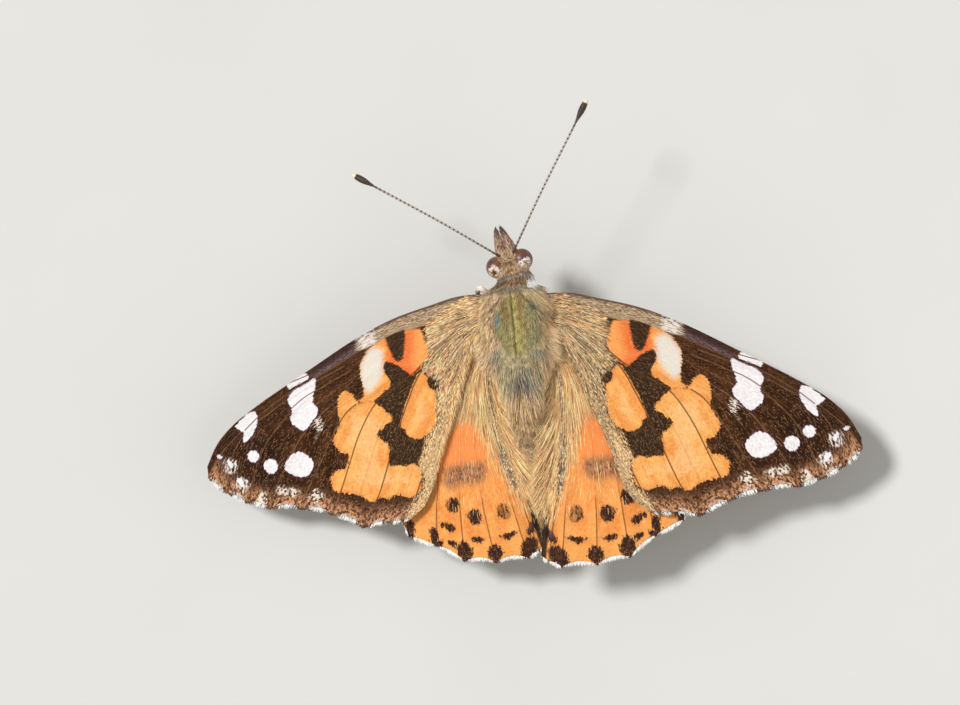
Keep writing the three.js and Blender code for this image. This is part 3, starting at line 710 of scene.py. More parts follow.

# %% [markdown]
# The upper side of the forewing: dark brown ground sprinkled with pale hair-scales, a grizzled tan base, a
# mottled brown border, the orange patches, paler in their depths, and over them the black and white marks.
# Along the front edge runs a strip of its own: tan, then cream, dark with a painted purple sheen, and dark.

# %% Upper side of the forewing
def forewing_upper():
    paint = WingPaint("forewing_upper")
    edge, across, ragged = paint.edge, paint.across, paint.ragged
    along = paint.along + ragged * 3

    tip = paint.rise(along, 17, 22) * paint.fall(across, 3, 5)
    folds = paint.rise(paint.arch, 0.993, 0.999) * paint.rise(edge, 1.5, 3)
    ground = paint.layers(
        paint.mix(ink(40, 19, 6), ink(74, 42, 20), paint.rise(paint.drift, 0.4, 0.7)),
        (ink(90, 54, 28), paint.grain * 0.35),
        (ink(30, 16, 12), tip * 0.5),
        (ink(186, 138, 94), paint.sparkle * 0.5),
        (ink(164, 120, 86), (paint.veins * 0.55 + folds * 0.4) * paint.grain))

    blotch = paint.noise(paint.stretched(paint.flow, 2.6, 3.6, 1), 3) * 0.5 + paint.grain * 0.5
    border = paint.layers(
        paint.mix(ink(84, 54, 38), ink(220, 160, 116), paint.rise(blotch, 0.28, 0.74)),
        (ink(74, 50, 38), paint.rise(paint.vein, 0.3, 0.1) * 0.4))
    cream = paint.mark("cream", 0.2, 2.6, 0.12) * paint.rise(blotch, 0.35, 0.5)
    bays = paint.rise(paint.arch + (blotch - 0.5) * 1.6, 0.5, 0.8) * paint.fall(edge + ragged * 2, 0.05, 0.3)

    hairs = paint.layers(
        paint.mix(ink(116, 98, 70), ink(236, 206, 160), paint.grain * 0.65 + paint.streak * 0.35),
        (ink(240, 176, 120), paint.rise(paint.drift, 0.5, 0.7) * 0.4))
    depth = paint.field("orange") + ragged * 1.5
    near_black = paint.rise(paint.field("black") + ragged, -1.5, -0.2)
    red = paint.mix(ink(250, 160, 82), ink(238, 92, 22), near_black)
    orange = paint.layers(
        paint.mix(ink(238, 148, 64), ink(250, 182, 98), paint.rise(paint.drift, 0.36, 0.62)),
        (ink(252, 202, 136), paint.rise(depth, 0.9, 1.6) * 0.7),
        (ink(232, 134, 54), paint.fall(depth, 0.05, 0.4) * 0.6),
        (red, paint.mark("red", 0.3)),
        (paint.varied(ink(220, 124, 56), ink(255, 206, 140)), 0.3),
        (ink(96, 48, 22), paint.veins * 0.8 + folds * 0.18))
    black = paint.layers(
        paint.mix(ink(34, 20, 12), ink(72, 48, 30), paint.streak), (ink(196, 158, 104), paint.sparkle * 0.4))
    core = paint.mix(ink(246, 228, 196), ink(212, 214, 216), paint.grain * 0.7 + paint.streak * 0.3)
    on_orange, white = paint.mark("orange"), paint.mark("white", wobble=0.6)

    mauve = paint.mix(ink(84, 68, 60), ink(222, 190, 150), paint.grain * 0.8 + paint.drift * 0.2)
    # Past the cream the strip is dark, with a purple sheen painted into its colour, lighter to its lower
    # edge.
    purple = paint.layers(
        paint.mix(ink(72, 48, 42), ink(122, 98, 102), paint.rise(across + ragged, 0.3, 0.8)),
        (ink(44, 28, 24), paint.rise(paint.grain + paint.streak, 0.85, 1.25) * 0.8))
    blaze = paint.rise(along, 8.2, 8.9) - paint.rise(along, 9.7, 10.3)
    strip = paint.layers(
        paint.mix(ink(100, 76, 68), mauve, paint.rise(across + ragged, 0.1, 0.4)),
        (purple, paint.rise(along, 9.9, 10.5)),
        (ink(240, 228, 216), blaze * paint.rise(paint.grain + paint.drift, 0.5, 0.9) * 0.9),
        (ground, paint.rise(along, 13.6, 15)))
    strip_edge = across + ragged * 0.4 - paint.fall(along, 8.6, 10) * 0.5

    return paint.done(
        ground,
        (border, paint.fall(edge + (blotch - 0.5) * 3, 1.0, 1.9) * 0.95),
        (ink(244, 230, 214), cream * 0.9),
        (ink(246, 236, 224), bays * 0.7),
        (hairs, paint.fall(across + ragged * 0.5, 1.4, 2.1) * paint.fall(along, 8, 9)),
        (orange, on_orange),
        (black, paint.mark("black", wobble=1.2)),
        (hairs, paint.rise(paint.field("tan") + ragged * 2.5, -0.2, 0.55)),
        (core, paint.mark("core", 0.4, 1.6, 0.2) * on_orange),
        (ink(104, 70, 48), paint.veins * 0.3),
        (ink(74, 40, 66), paint.rise(paint.field("white"), -0.22, -0.04) * 0.6),
        (paint.varied(ink(228, 220, 224), ink(252, 248, 246)), white),
        (ink(112, 60, 56), paint.fall(paint.field("cut"), 0.03, 0.08) * white * 0.85),
        (ink(206, 180, 156),
         paint.fall(paint.field("streak") + ragged * 1.5, 0.04, 0.24) * paint.grain * 0.6),
        (strip, paint.fall(strip_edge, 0.8, 1.0) * (1 - white) * 0.95))


# %% [markdown]
# The upper side of the hindwing is orange, hazed with golden brown where the body's long hairs lie over it,
# with a grey smudge in its middle. Its veins show as thin dark lines only towards the edge. The hairs veil
# the round spot nearest to the body, but not the dark triangles at the edge.

# %% Upper side of the hindwing
def hindwing_upper():
    paint = WingPaint("hindwing_upper")
    edge, ragged, streak = paint.edge, paint.ragged, paint.streak
    haze = paint.field("haze")
    tan = paint.mix(ink(176, 126, 80), ink(252, 212, 152), paint.grain * 0.5 + streak * 0.5)
    grey = paint.mix(ink(82, 62, 58), ink(186, 134, 98),
                     paint.rise(paint.grain * 0.3 + streak * 0.7, 0.35, 0.65))
    black = paint.layers(
        paint.mix(ink(36, 22, 18), ink(70, 44, 34), streak), (ink(196, 128, 80), paint.sparkle * 0.5))
    veil = paint.rise(haze + ragged * 2, -3.4, -1.6) * paint.rise(edge, 2.6, 3.4)
    veil = veil * paint.rise(streak, 0.35, 0.6)
    inner = paint.rise(paint.across + ragged * 0.4, 7.2, 7.5) * paint.rise(paint.along, 15.5, 17.5)
    return paint.done(
        paint.mix(ink(240, 140, 62), ink(252, 172, 90), paint.rise(paint.drift, 0.35, 0.65)),
        (paint.varied(ink(226, 126, 58), ink(255, 196, 124)), 0.35),
        (ink(252, 180, 100), paint.fall(edge + ragged * 2, 0.9, 2.0) * 0.4),
        (ink(250, 144, 78), paint.mark("red", 0.3, 2) * 0.75),
        (tan, paint.rise(haze + ragged * 2.5, -1.2, 1.0) * 0.9),
        (grey, paint.mark("smudge", 0.5, 3) * paint.rise(streak, 0.25, 0.45) * 0.95),
        (ink(104, 50, 24), paint.veins * paint.rise(paint.along, 13, 17) * 0.75),
        (black, paint.mark("black", 0.1, 1.7) * (1 - veil * 0.6)),
        (ink(104, 96, 112), paint.mark("lilac", 0.1) * streak * 0.7),
        (ink(36, 22, 20), inner * 0.95))


# %% [markdown]
# Underneath, which the photograph doesn't show, the species is dressed for hiding. The forewing is salmon
# with the same black and white marks but a buff tip. The hindwing is marbled olive and cream between white
# veins, with a row of ringed eyespots that lie under the upper side's round spots.

# %% Undersides
def forewing_under():
    paint = WingPaint("forewing_under")
    edge, across, ragged = paint.edge, paint.across, paint.ragged
    along = paint.along + ragged * 3
    middle = paint.rise(along, 11, 13) - paint.rise(along, 19.5, 22)
    salmon = paint.varied(ink(226, 116, 80), ink(248, 166, 126))
    return paint.done(
        paint.mix(ink(140, 112, 84), ink(212, 186, 154), paint.streak * 0.6 + paint.grain * 0.4),
        (ink(232, 222, 206), paint.veins * 0.7),
        (ink(58, 38, 30), middle * paint.rise(edge, 1.2, 2.2) * 0.85),
        (salmon, paint.mark("orange", 0.1, grow=0.15)),
        (salmon, paint.rise(paint.field("tan"), -0.3, 0.2)),
        (paint.varied(ink(176, 156, 132), ink(220, 204, 182)), paint.rise(across, 8.6, 9.6) * 0.85),
        (ink(44, 30, 26), paint.mark("black", 0.08, grow=-0.12)),
        (paint.varied(ink(226, 222, 214), ink(250, 248, 244)),
         paint.mark("white", wobble=0.5) + paint.mark("core", 0.2)),
        (paint.varied(ink(170, 146, 124), ink(224, 208, 186)), paint.fall(across, 0.8, 1.0) * 0.8),
        (ink(104, 76, 58), paint.fall(edge + ragged, 0.15, 0.4) * 0.7))


def hindwing_under():
    paint = WingPaint("hindwing_under")
    edge, ragged, varied = paint.edge, paint.ragged, paint.varied
    marble = paint.noise(paint.stretched(paint.flow, 0.34, 0.62, 1), 3) + ragged * 0.12
    band = paint.rise(edge + ragged, 1.5, 1.6) * paint.fall(edge, 4.4, 5.2)
    eyespot = [(shade, paint.fall(paint.field("ring") + ragged * 0.4, reach - 0.06, reach))
               for reach, shade in ((1.3, ink(58, 42, 36)), (1.12, ink(224, 182, 98)),
                                    (0.72, ink(30, 26, 30)), (0.4, ink(88, 128, 176)))]
    lunule = paint.rise(edge, 0.75, 0.85) * paint.fall(edge, 1.2, 1.35) * paint.rise(paint.arch, 0.3, 0.6)
    return paint.done(
        varied(ink(214, 200, 178), ink(244, 238, 226)),
        (ink(78, 58, 44), paint.rise(marble, 0.475, 0.5)),
        (varied(ink(120, 98, 68), ink(170, 146, 108)), paint.rise(marble, 0.505, 0.525)),
        (varied(ink(176, 146, 108), ink(216, 192, 158)), band * 0.7),
        (ink(246, 240, 230), paint.fall(paint.vein, 0.1, 0.18) * 0.9),
        *eyespot,
        (varied(ink(120, 124, 168), ink(168, 168, 206)), lunule * 0.9),
        (varied(ink(196, 160, 116), ink(226, 196, 156)), paint.fall(edge + ragged, 0.6, 0.7) * 0.85),
        (ink(96, 70, 54), paint.fall(edge + ragged, 0.12, 0.3) * 0.8))


wing_paints = {"forewing": [forewing_upper(), forewing_under()],
               "hindwing": [hindwing_upper(), hindwing_under()]}
print("wing paints:", [paint.name for pair in wing_paints.values() for paint in pair])

# %% [markdown]
# The sheets now become wings: the membrane bulges over the veins, sags between them, thins towards the
# edge, and arches as a whole. Each wing is then turned to its own attitude about its root. The forewing
# hangs low in its solid and the hindwing high, so that the pair lie close as real wings do.

# %% Wings in space
wing_poses = {
    "forewing_right": {"side": 1, "sweep": -6, "droop": 8.3, "pitch": 2.1, "forward": 0, "scale": 1},
    "forewing_left": {"side": -1, "sweep": 0.5, "droop": 8.5, "pitch": 7, "forward": 0.6, "scale": 1},
    "hindwing_right": {"side": 1, "sweep": -6, "droop": 8.3, "pitch": 2.1, "forward": 0, "scale": 1},
    "hindwing_left": {"side": -1, "sweep": -5.5, "droop": 8.5, "pitch": 7, "forward": 0.2, "scale": 0.97},
}
wing_sheets = {"forewing": forewing, "hindwing": hindwing}
forewing_root = np.array([3.3, 2.95, 10.6])
hindwing_from_forewing = np.array([0.18, -2.7, -1.1])
camber = 0.35
root_overlap = 1.0
wing_lift = {"forewing": -0.1, "hindwing": 0.1}


def kind_of(name):
    """forewing or hindwing, from a wing's full name."""
    return name.split("_")[0]


def turned_about(axis, degrees):
    """A turn about one axis of the body frame, as a matrix."""
    c, s = math.cos(math.radians(degrees)), math.sin(math.radians(degrees))
    i, j = [(1, 2), (2, 0), (0, 1)][axis]
    made = np.eye(3)
    made[i, i] = made[j, j] = c
    made[i, j], made[j, i] = -s, s
    return made


def wing_surface(name, face):
    """The places of one face of a wing, in body mm. face is 1 above and -1 below.

    Height is the arch of the whole wing, less a sag between veins that grows with share, plus half the
    thickness and a bell-shaped ridge over each vein on either face. Near the root the wing is drawn out
    inwards, so that it ends inside the chest.
    """
    pose, sheet = wing_poses[name], wing_sheets[kind_of(name)]
    share, across, plane = sheet["share"], sheet["across"], sheet["plane"]
    whole = np.sin(np.pi * share) * np.sin(np.pi * across / across.max())
    half = 0.11 - 0.06 * share + 0.06 * bell(sheet["vein"], 0, 0.13) * (1 - 0.6 * share)
    sag = 0.11 * sheet["arch"] * share
    wave = 0.06 * np.sin(1.7 * np.pi * across) * share**2
    height = camber * whole - sag + wave + wing_lift[kind_of(name)] + face * half
    outwards = plane[..., 0] - root_overlap * fall(share, 0, 0.08)
    local = np.dstack([pose["side"] * outwards, plane[..., 1], height])
    turn = (turned_about(2, pose["side"] * pose["sweep"]) @ turned_about(1, pose["side"] * pose["droop"])
            @ turned_about(0, pose["pitch"]))
    root = forewing_root * [pose["side"], 1, 1] + [0, pose["forward"], 0]
    if kind_of(name) == "hindwing":
        root = root + turn @ (hindwing_from_forewing * [pose["side"], 1, 1])
    return pose["scale"] * local @ turn.T + root


def wing_map(name, face=1):
    """A wing's flat map as a grid: the upper face in the top half and the lower face in the bottom half."""
    plane = wing_sheets[kind_of(name)]["plane"]
    low, high = plane.min((0, 1)), plane.max((0, 1))
    upper = [0.01, 0.51] + (plane - low) / (high - low) * [0.98, 0.48]
    return upper if face == 1 else upper - [0, 0.5]


def build_wing(name):
    """Both faces, and a rim of quads round the edge, as one closed piece with a paint for each face."""
    sheet = wing_sheets[kind_of(name)]
    rows, columns = sheet["share"].shape
    count = rows * columns
    grid = np.arange(count).reshape(rows, columns)
    upper = np.stack([grid[:-1, :-1], grid[1:, :-1], grid[1:, 1:], grid[:-1, 1:]], -1).reshape(-1, 4)
    lower = upper[:, ::-1] + count
    rim = np.concatenate([grid[0], grid[1:, -1], grid[-1, -2::-1], grid[-2:0:-1, 0]])
    after = np.roll(rim, -1)
    sides = np.stack([rim, after, after + count, rim + count], -1)
    places = np.vstack([wing_surface(name, face).reshape(-1, 3) for face in (1, -1)])
    top_map, under_map = [wing_map(name, face).reshape(-1, 2) for face in (1, -1)]
    out = 0.004 * unit(top_map - top_map.mean(axis=0))
    side_map = np.stack([top_map[rim], top_map[after], (top_map + out)[after], (top_map + out)[rim]], 1)
    flat_map = [top_map[upper], under_map[lower - count], side_map]
    fields = {key: np.vstack([values.reshape(count, -1)] * 2) for key, values in sheet.items()
              if key not in ("plane", "share", "length")}
    wears = np.repeat([0, 1, 0], [len(upper), len(lower), len(sides)])
    return put_piece(name + "_skin", shape_of(places, [upper, lower, sides], flat_map, **fields),
                     wing_paints[kind_of(name)], replaces=[name], wears=wears)


for name in wing_poses:
    piece = build_wing(name)
    solid_low, solid_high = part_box(name)
    corners = np.array(piece.bound_box)
    print("  off its solid by, mm:", np.round((corners.min(0) - solid_low) / MM, 2),
          np.round((corners.max(0) - solid_high) / MM, 2))

# %% [markdown]
# The body, feelers, legs, palps and tongue are all tubes of some kind: rings of points carried along a path.
# One function lays the rings, one closes them into a shape, and everything else is a choice of radii.

# %% Tubes
def tube(path, radii, sides):
    """Rings of points square to a path, as an array of ring, place in the ring, and axis.

    One direction of a ring is square to both the path and the direction in which the whole path spreads
    least, and the other is square to both the path and the first.
    """
    tangent = unit(np.gradient(path, axis=0))
    spread_least = np.linalg.svd(path - path.mean(axis=0))[2][2]
    side = unit(np.cross(tangent, spread_least))
    other = np.cross(side, tangent)
    angle = np.linspace(0, 2 * math.pi, sides, endpoint=False)[None, :, None]
    ring = np.cos(angle) * side[:, None] + np.sin(angle) * other[:, None]
    return path[:, None] + np.broadcast_to(radii, len(path))[:, None, None] * ring


def closed_tube(rings, **fields):
    """Rings joined by quads and closed by a fan at each end. Each field has a value for each ring place.

    On the flat map, the way round runs across and the way along runs up.
    """
    rows, sides = rings.shape[:2]
    ring = np.arange(rows * sides).reshape(rows, sides)
    after = np.roll(ring, -1, axis=1)
    quads = np.stack([ring[:-1], after[:-1], after[1:], ring[1:]], -1).reshape(-1, 4)
    tip = np.full(sides, rows * sides)
    fans = np.vstack([np.column_stack([tip, after[0], ring[0]]),
                      np.column_stack([tip + 1, ring[-1], after[-1]])])
    u, v = np.meshgrid(np.arange(sides) / sides, 0.03 + 0.94 * np.arange(rows) / (rows - 1))
    step = 1 / sides
    quad_map = np.stack([np.dstack([u[:-1], v[:-1]]), np.dstack([u[:-1] + step, v[:-1]]),
                         np.dstack([u[1:] + step, v[1:]]), np.dstack([u[1:], v[1:]])], 2).reshape(-1, 4, 2)
    fan_map = np.vstack([
        np.stack([np.column_stack([u[0] + step / 2, 0 * u[0]]), np.column_stack([u[0] + step, v[0]]),
                  np.column_stack([u[0], v[0]])], 1),
        np.stack([np.column_stack([u[0] + step / 2, 0 * u[0] + 1]), np.column_stack([u[0], v[-1]]),
                  np.column_stack([u[0] + step, v[-1]])], 1)])
    with_tips = {}
    for key, values in fields.items():
        values = np.asarray(values, float).reshape(rows * sides, -1)
        with_tips[key] = np.vstack([values, values[:sides].mean(axis=0), values[-sides:].mean(axis=0)])
    places = np.vstack([rings.reshape(-1, 3), rings[0].mean(axis=0), rings[-1].mean(axis=0)])
    return shape_of(places, [quads, fans], [quad_map, fan_map], **with_tips)


def head_turned(places):
    """The head looks 11 degrees to the left: a turn about the neck that fades in with a small step aside."""
    places = np.asarray(places, float)
    angle = math.radians(11) * rise(places[..., 1], 4.9, 5.9)
    x, y = places[..., 0] + 0.34 * rise(places[..., 1], 4.2, 5.6), places[..., 1] - neck_y
    return np.stack([x * np.cos(angle) - y * np.sin(angle), neck_y + x * np.sin(angle) + y * np.cos(angle),
                     places[..., 2]], -1)


short_tube = tube(np.array([(0, 0, 0), (0, 0, 1), (0, 0.1, 2)], float), 0.5, 8)
print("a short tube encloses", round(abs(enclosed(closed_tube(short_tube))), 2), "cubic mm")

# %% [markdown]
# The body is one skin from the tip of the abdomen to the face, as it is under a real butterfly's fur: the
# plates of the abdomen telescope, the chest is deep, with a groove along its back and a flap over each
# wing's root, and the head sits on a narrow neck. It is drawn through measured stations as one tube.

# %% The body's skin
body_stations = np.array([  # y, half width, lowest z, highest z
    (-14.1, 0.06, 6, 6.2), (-13.4, 0.32, 6.05, 6.8), (-12.3, 0.68, 6.1, 7.6), (-10.8, 1.02, 6.4, 8.6),
    (-9, 1.32, 6.9, 9.7), (-7.2, 1.48, 7.55, 10.6), (-5.4, 1.48, 8.2, 11.3), (-4.4, 1.3, 8.6, 11.5),
    (-3.2, 1.8, 8.3, 11.9), (-1.5, 2.4, 7.85, 12.45), (0.5, 2.65, 7.8, 12.6), (2.5, 2.7, 8.1, 12.45),
    (3.8, 2.45, 8.7, 12.25), (4.6, 2.1, 9.1, 12.1), (5.1, 1.8, 9.4, 11.95), (5.5, 1.55, 9.6, 11.75),
    (5.9, 1.4, 9.6, 11.65), (6.4, 1.35, 9.5, 11.75), (7, 1.3, 9.45, 11.8), (7.6, 1.1, 9.6, 11.6),
    (8, 0.65, 9.95, 11.2), (8.15, 0.1, 10.4, 10.8)])
body_rows, body_sides = 240, 100
plate_length = 1.37


def body_rings():
    """The body's skin before the head is turned: a ring of rounded outline at each station along y.

    From the angle a round the body, starting on the back, x is w sin a and z is the middle plus h cos a.
    Bell-shaped bumps and grooves, and a saw of telescoping plates on the abdomen, then change both.
    """
    y, width, low, high = smooth_line(body_stations, body_rows).T[..., None]
    angle = np.linspace(0, 2 * math.pi, body_sides, endpoint=False)[None]
    back = np.cos(angle)
    saw = (-(y + 4.4) / plate_length) % 1
    plates = (0.02 - 0.04 * saw) * rise(-y, 4.6, 5.6) * fall(-y, 12.6, 13.6)
    groove = 0.05 * bell(np.sin(angle), 0, 0.09) * (back > 0) * rise(y, -3.4, -1.5) * fall(y, 4, 4.8)
    rear = 0.05 * bell(y, -2.1, 0.25) * (back > 0)
    grown = 1 + plates - groove - rear
    x = width * np.sin(angle) * grown
    z = (high + low) / 2 + (high - low) / 2 * back * grown
    flap = np.exp(-((np.abs(x) - 1.95) / 0.55) ** 2 - ((y - 2.3) / 1.1) ** 2) * (back > 0)
    cheek = bell(y, 4.55, 0.35) * (back > 0) * np.abs(np.sin(angle))
    return np.stack([x + (0.22 * flap + 0.1 * cheek) * np.sign(x), y + 0 * x, z + 0.28 * flap], -1)


body = body_rings()
print("body skin:", body.shape, "long", round(float(np.ptp(body[..., 1])), 1), "mm")

# %% [markdown]
# The body's colours run in bands: a tan head with dark spots on its crown, a blue-green line on the neck, a
# speckled brown collar with a white tuft on the right, and an olive disc with streaks of gold on the chest,
# darker to both sides as painted shade and with a patch of painted blue sheen on its left. Behind it come
# corners of painted blue-green sheen, a golden rear with a spot of painted grey sheen, and the striped
# abdomen. The belly is pale. One function gives the colour of any place, so that the skin and its hairs
# agree.

# %% Colours of the body
def blend(under, over, weight):
    """Colours as linear light, mixed by a weight for each place."""
    under = np.asarray(under, float)
    return under + (np.asarray(over, float) - under) * np.asarray(weight)[..., None]


def layers(colour, *covers):
    """A colour with others laid over it in turn, each given with its weight for each place."""
    for over, weight in covers:
        colour = blend(colour, over, weight)
    return colour


def chest_disc(x, y, aside, mixed):
    """The colours of the olive disc on the chest: paler in its middle, and darker lines along it."""
    gold = bell(aside, 0.8, 0.3) * rise(y, 0.5, 3)
    flank = rise(aside, 0.8, 1.4) * rise(np.sin(2.3 * y + 2.2 * np.sin(1.3 * x + 0.6)), -0.6, 0.7)
    lines = bell(aside, 0.6, 0.09) * rise(y, -1.5, 0.5)
    return layers(
        blend(ink(98, 88, 42), ink(206, 188, 118), mixed),
        # A darker copy of the olive towards both sides of the disc: painted shade.
        (blend(ink(84, 78, 46), ink(176, 164, 106), mixed),
         np.maximum(fall(x, -0.6, 0.1), 0.7 * rise(x, 0.8, 1.3))),
        (blend(ink(112, 90, 60), ink(204, 174, 124), mixed), rise(x, 1.2, 1.7) * 0.7),
        (ink(128, 92, 50), gold * 0.7),
        # A patch of blue sheen painted on the left of the disc.
        (ink(92, 118, 134), bell(x, -1.5, 0.3) * bell(y, 2.2, 0.6)),
        (ink(122, 130, 92), flank * 0.5),
        (ink(60, 44, 28), np.maximum(lines * 0.3, 0.9 * bell(x, 0, 0.08))))


def body_colours(places):
    """The colour of body places, before the head is turned, as linear light with alpha 1.

    height runs from -1 on the belly to 1 on the back. Sums and products of sines take the place of noise.
    """
    x, y, z = np.moveaxis(places, -1, 0)
    aside = np.abs(x)
    at_y, low, high = body_stations[:, 0], body_stations[:, 2], body_stations[:, 3]
    height = (z - np.interp(y, at_y, (low + high) / 2)) / np.interp(y, at_y, (high - low) / 2)
    speckle = 0.5 + 0.17 * (np.sin(7 * x + 3 * y) + np.sin(9.3 * y - 4 * x) + np.sin(5.1 * x - 6.2 * y + 2))
    fine = 0.5 + 0.5 * np.sin(21 * x + 3 * np.sin(9 * y)) * np.sin(19 * y + 4 * np.sin(8 * x))
    mixed = speckle * 0.5 + fine * 0.5

    stripe = rise(np.sin(4.6 * (y + 4.4)), 0.2, 0.9) * fall(aside, 0.3, 0.9)
    abdomen = blend(blend(ink(118, 98, 74), ink(230, 192, 140), fine), ink(80, 60, 46), stripe * 0.6)
    nap = rise(height, 0.3, 0.6) * rise(y, -4, -3) * fall(y, -0.8, 0) * fall(aside, 1.4, 2.2)
    # Blue-green sheen painted on the chest's corners behind the disc.
    corners = bell(aside, 1.9, 0.4) * bell(y, -0.9, 0.6) * rise(height, 0.2, 0.5)
    disc = rise(height, 0.3, 0.5) * fall(((x - 0.3) / 2.15) ** 2 + ((y - 1.6) / 3) ** 2, 0.65, 1.15)
    # A grey sheen painted on the back at the rear of the chest.
    grey_sheen = bell(x, 0.2, 0.9) * bell(y, -3.3, 0.9) * rise(height, 0.4, 0.7)
    # Painted shade: a dark spot in the hollow beside the right forewing's root.
    shaded_pit = bell(x, 1.85, 0.24) * bell(y, 3.1, 0.36) * rise(height, 0.1, 0.4)
    shoulder = rise(height, 0.1, 0.5) * rise(y, -0.5, 1) * fall(y, 4.3, 4.9) * rise(aside, 1.5, 2)
    green = bell(x, 1.75, 0.5) * bell(y, 2.4, 1.7) * rise(height, 0.1, 0.4) * (1 - shaded_pit)
    slant = bell(0.79 * (aside - 0.7) + 0.62 * (y - 4.5), 0, 0.12) * rise(aside, 0.6, 0.9)
    slant = slant * fall(aside, 1.6, 1.9) * rise(height, 0, 0.3)
    groove = bell(y, 4.55, 0.1) * rise(height, 0.2, 0.5) * fall(aside, 1, 1.5)
    tuft = rise(bell(x, 1.6, 0.4) * bell(y, 5.3, 0.4), 0.2, 0.5)
    spots = bell(aside, 0.12, 0.3) * (bell(y, 7, 0.16) + bell(y, 6.45, 0.14))
    head = layers(
        blend(ink(120, 92, 66), ink(208, 178, 140), mixed),
        (ink(96, 58, 24), rise(spots, 0.3, 0.8) * 0.9),
        (ink(216, 208, 194), fall(height, -0.6, -0.1)))
    return layers(
        ink(204, 172, 134),
        (ink(226, 216, 200), fall(height, -0.7, 0.0)),
        (blend(ink(196, 156, 106), ink(242, 206, 152), speckle), rise(height, 0, 0.4) * fall(y, -4.4, -2.4)),
        (abdomen, fall(y, -5.2, -4.2) * rise(height, -0.2, 0.3)),
        (blend(ink(110, 110, 84), ink(208, 186, 140), mixed), nap),
        (ink(96, 122, 116), corners * 0.6),
        (chest_disc(x, y, aside, mixed), disc),
        (blend(ink(70, 66, 72), ink(150, 142, 136), fine), grey_sheen * 0.85),
        (ink(46, 30, 26), shaded_pit),
        (blend(ink(84, 68, 58), ink(255, 216, 160), mixed), shoulder * (1 - disc)),
        (blend(ink(78, 82, 56), ink(168, 158, 112), mixed), green * 0.8),
        (blend(ink(64, 62, 54), ink(150, 144, 122), mixed), bell(y, 4.9, 0.3) * rise(height, 0, 0.4)),
        (ink(58, 46, 34), slant * 0.8),
        (ink(60, 52, 40), groove * 0.8),
        (blend(ink(44, 28, 16), ink(166, 124, 84), rise(fine, 0.2, 0.8)),
         rise(y, 5.05, 5.25) * rise(height, -0.2, 0.2)),
        (ink(128, 144, 142), bell(y, 5.9, 0.13) * rise(height, 0, 0.4) * 0.6),
        (ink(244, 240, 238), tuft),
        (head, rise(y, 6.05, 6.25)))


body_tints = body_colours(body)
print("mean body colour:", np.round(body_tints.mean(axis=(0, 1)), 3))

# %% Paint and piece of the body's skin
def tinted(name, roughness, grain_mm, depth_mm, **finish):
    """A paint that wears the colour stored on its points, with fine grain in shade and height."""
    paint = Paint(name, **finish)
    fine = paint.noise(paint.place(1 / (grain_mm * MM)), 3)
    colour = paint.mix(paint.field("tint", 0), ink(20, 14, 10), paint.rise(fine, 0.5, 0.85) * 0.5)
    paint.bump(fine, depth_mm, 0.5)
    return paint.finish(colour, fine * 0.2 + (roughness - 0.1))


hide_paint = tinted("hide", 0.6, 0.12, 0.03, Specular_IOR_Level=0.3)
body_shape = closed_tube(head_turned(body), tint=body_tints)
put_piece("body_skin", body_shape, [hide_paint], replaces=["thorax", "abdomen", "head"])

# %% [markdown]
# The eyes are big domes of tiny lenses, reddish brown, with a wet gloss over them. The lenses are too fine to
# build, so a cell pattern raises them in the shader. On the rear of each eye sits a round patch of scales:
# white about a dark golden middle, with a purple crescent before it.

# %% Eyes
def eye_paint():
    paint = Paint("eye_lenses", Coat_Weight=0.08, Coat_Roughness=0.3)
    lenses = paint.node("ShaderNodeTexVoronoi", {"voronoi_dimensions": "3D"},
                        {"Vector": paint.place(1000), "Scale": 18.0})
    cloud = paint.noise(paint.place(900))
    tufts = paint.noise(paint.place(5000), 3)
    angle, ahead = paint.field("angle") + (cloud - 0.5) * 60 + (tufts - 0.5) * 50, paint.field("ahead")
    scales = paint.fall(angle, 35, 39)
    white = scales * paint.rise(angle, 15, 23) * paint.rise(tufts * 0.7 + cloud * 0.3, 0.42, 0.52)
    colour = paint.layers(
        paint.mix(ink(84, 42, 20), ink(132, 78, 40), paint.rise(cloud, 0.35, 0.65)),
        (ink(46, 20, 12), paint.rise(lenses, 0.3, 0.6) * 0.55),
        (ink(74, 44, 72), paint.fall(angle, 46, 54) * paint.rise(ahead, -0.2, 0.1) * 0.85),
        (paint.mix(ink(112, 76, 44), ink(206, 170, 124), tufts), scales),
        (ink(216, 206, 200), white),
        (ink(38, 22, 14), paint.fall(angle, 5, 11)))
    paint.bump(1 - lenses, 0.012, 0.7)
    return paint.finish(colour, scales * 0.35 + 0.35)


def dome(centre, radii, rows=60, sides=80):
    """A closed egg about a line across the head: the ring at angle b has the radius sin b."""
    b = np.linspace(0.02, math.pi - 0.02, rows)[:, None]
    a = np.linspace(0, 2 * math.pi, sides, endpoint=False)[None]
    outwards = np.stack([np.cos(b) + 0 * a, np.sin(b) * np.cos(a), np.sin(b) * np.sin(a)], -1)
    return np.array(centre) + np.array(radii) * outwards, outwards


eye_material = eye_paint()
eye_centre, eye_radii = (1.2, 7.05, 10.75), (0.98, 1.0, 1.04)
both_sides = {"right": 1, "left": -1}
for name, side in both_sides.items():
    rings, outwards = dome(np.array(eye_centre) * [side, 1, 1], eye_radii)
    patch_towards = unit(np.array([side * 0.3, -0.5, 0.85]))
    angle = np.degrees(np.arccos(np.clip(outwards @ patch_towards, -1, 1)))
    ahead = outwards @ np.array([0, 0.86, 0.5])
    put_piece("eye_dome_" + name, closed_tube(head_turned(rings), angle=angle, ahead=ahead), [eye_material],
              replaces=["eye_" + name])

# %% [markdown]
# Between the eyes the two palps stand forward like a beak, thick with scales. Under them the tongue lies
# coiled like a watch spring, made of two half-tubes ringed by fine bands.

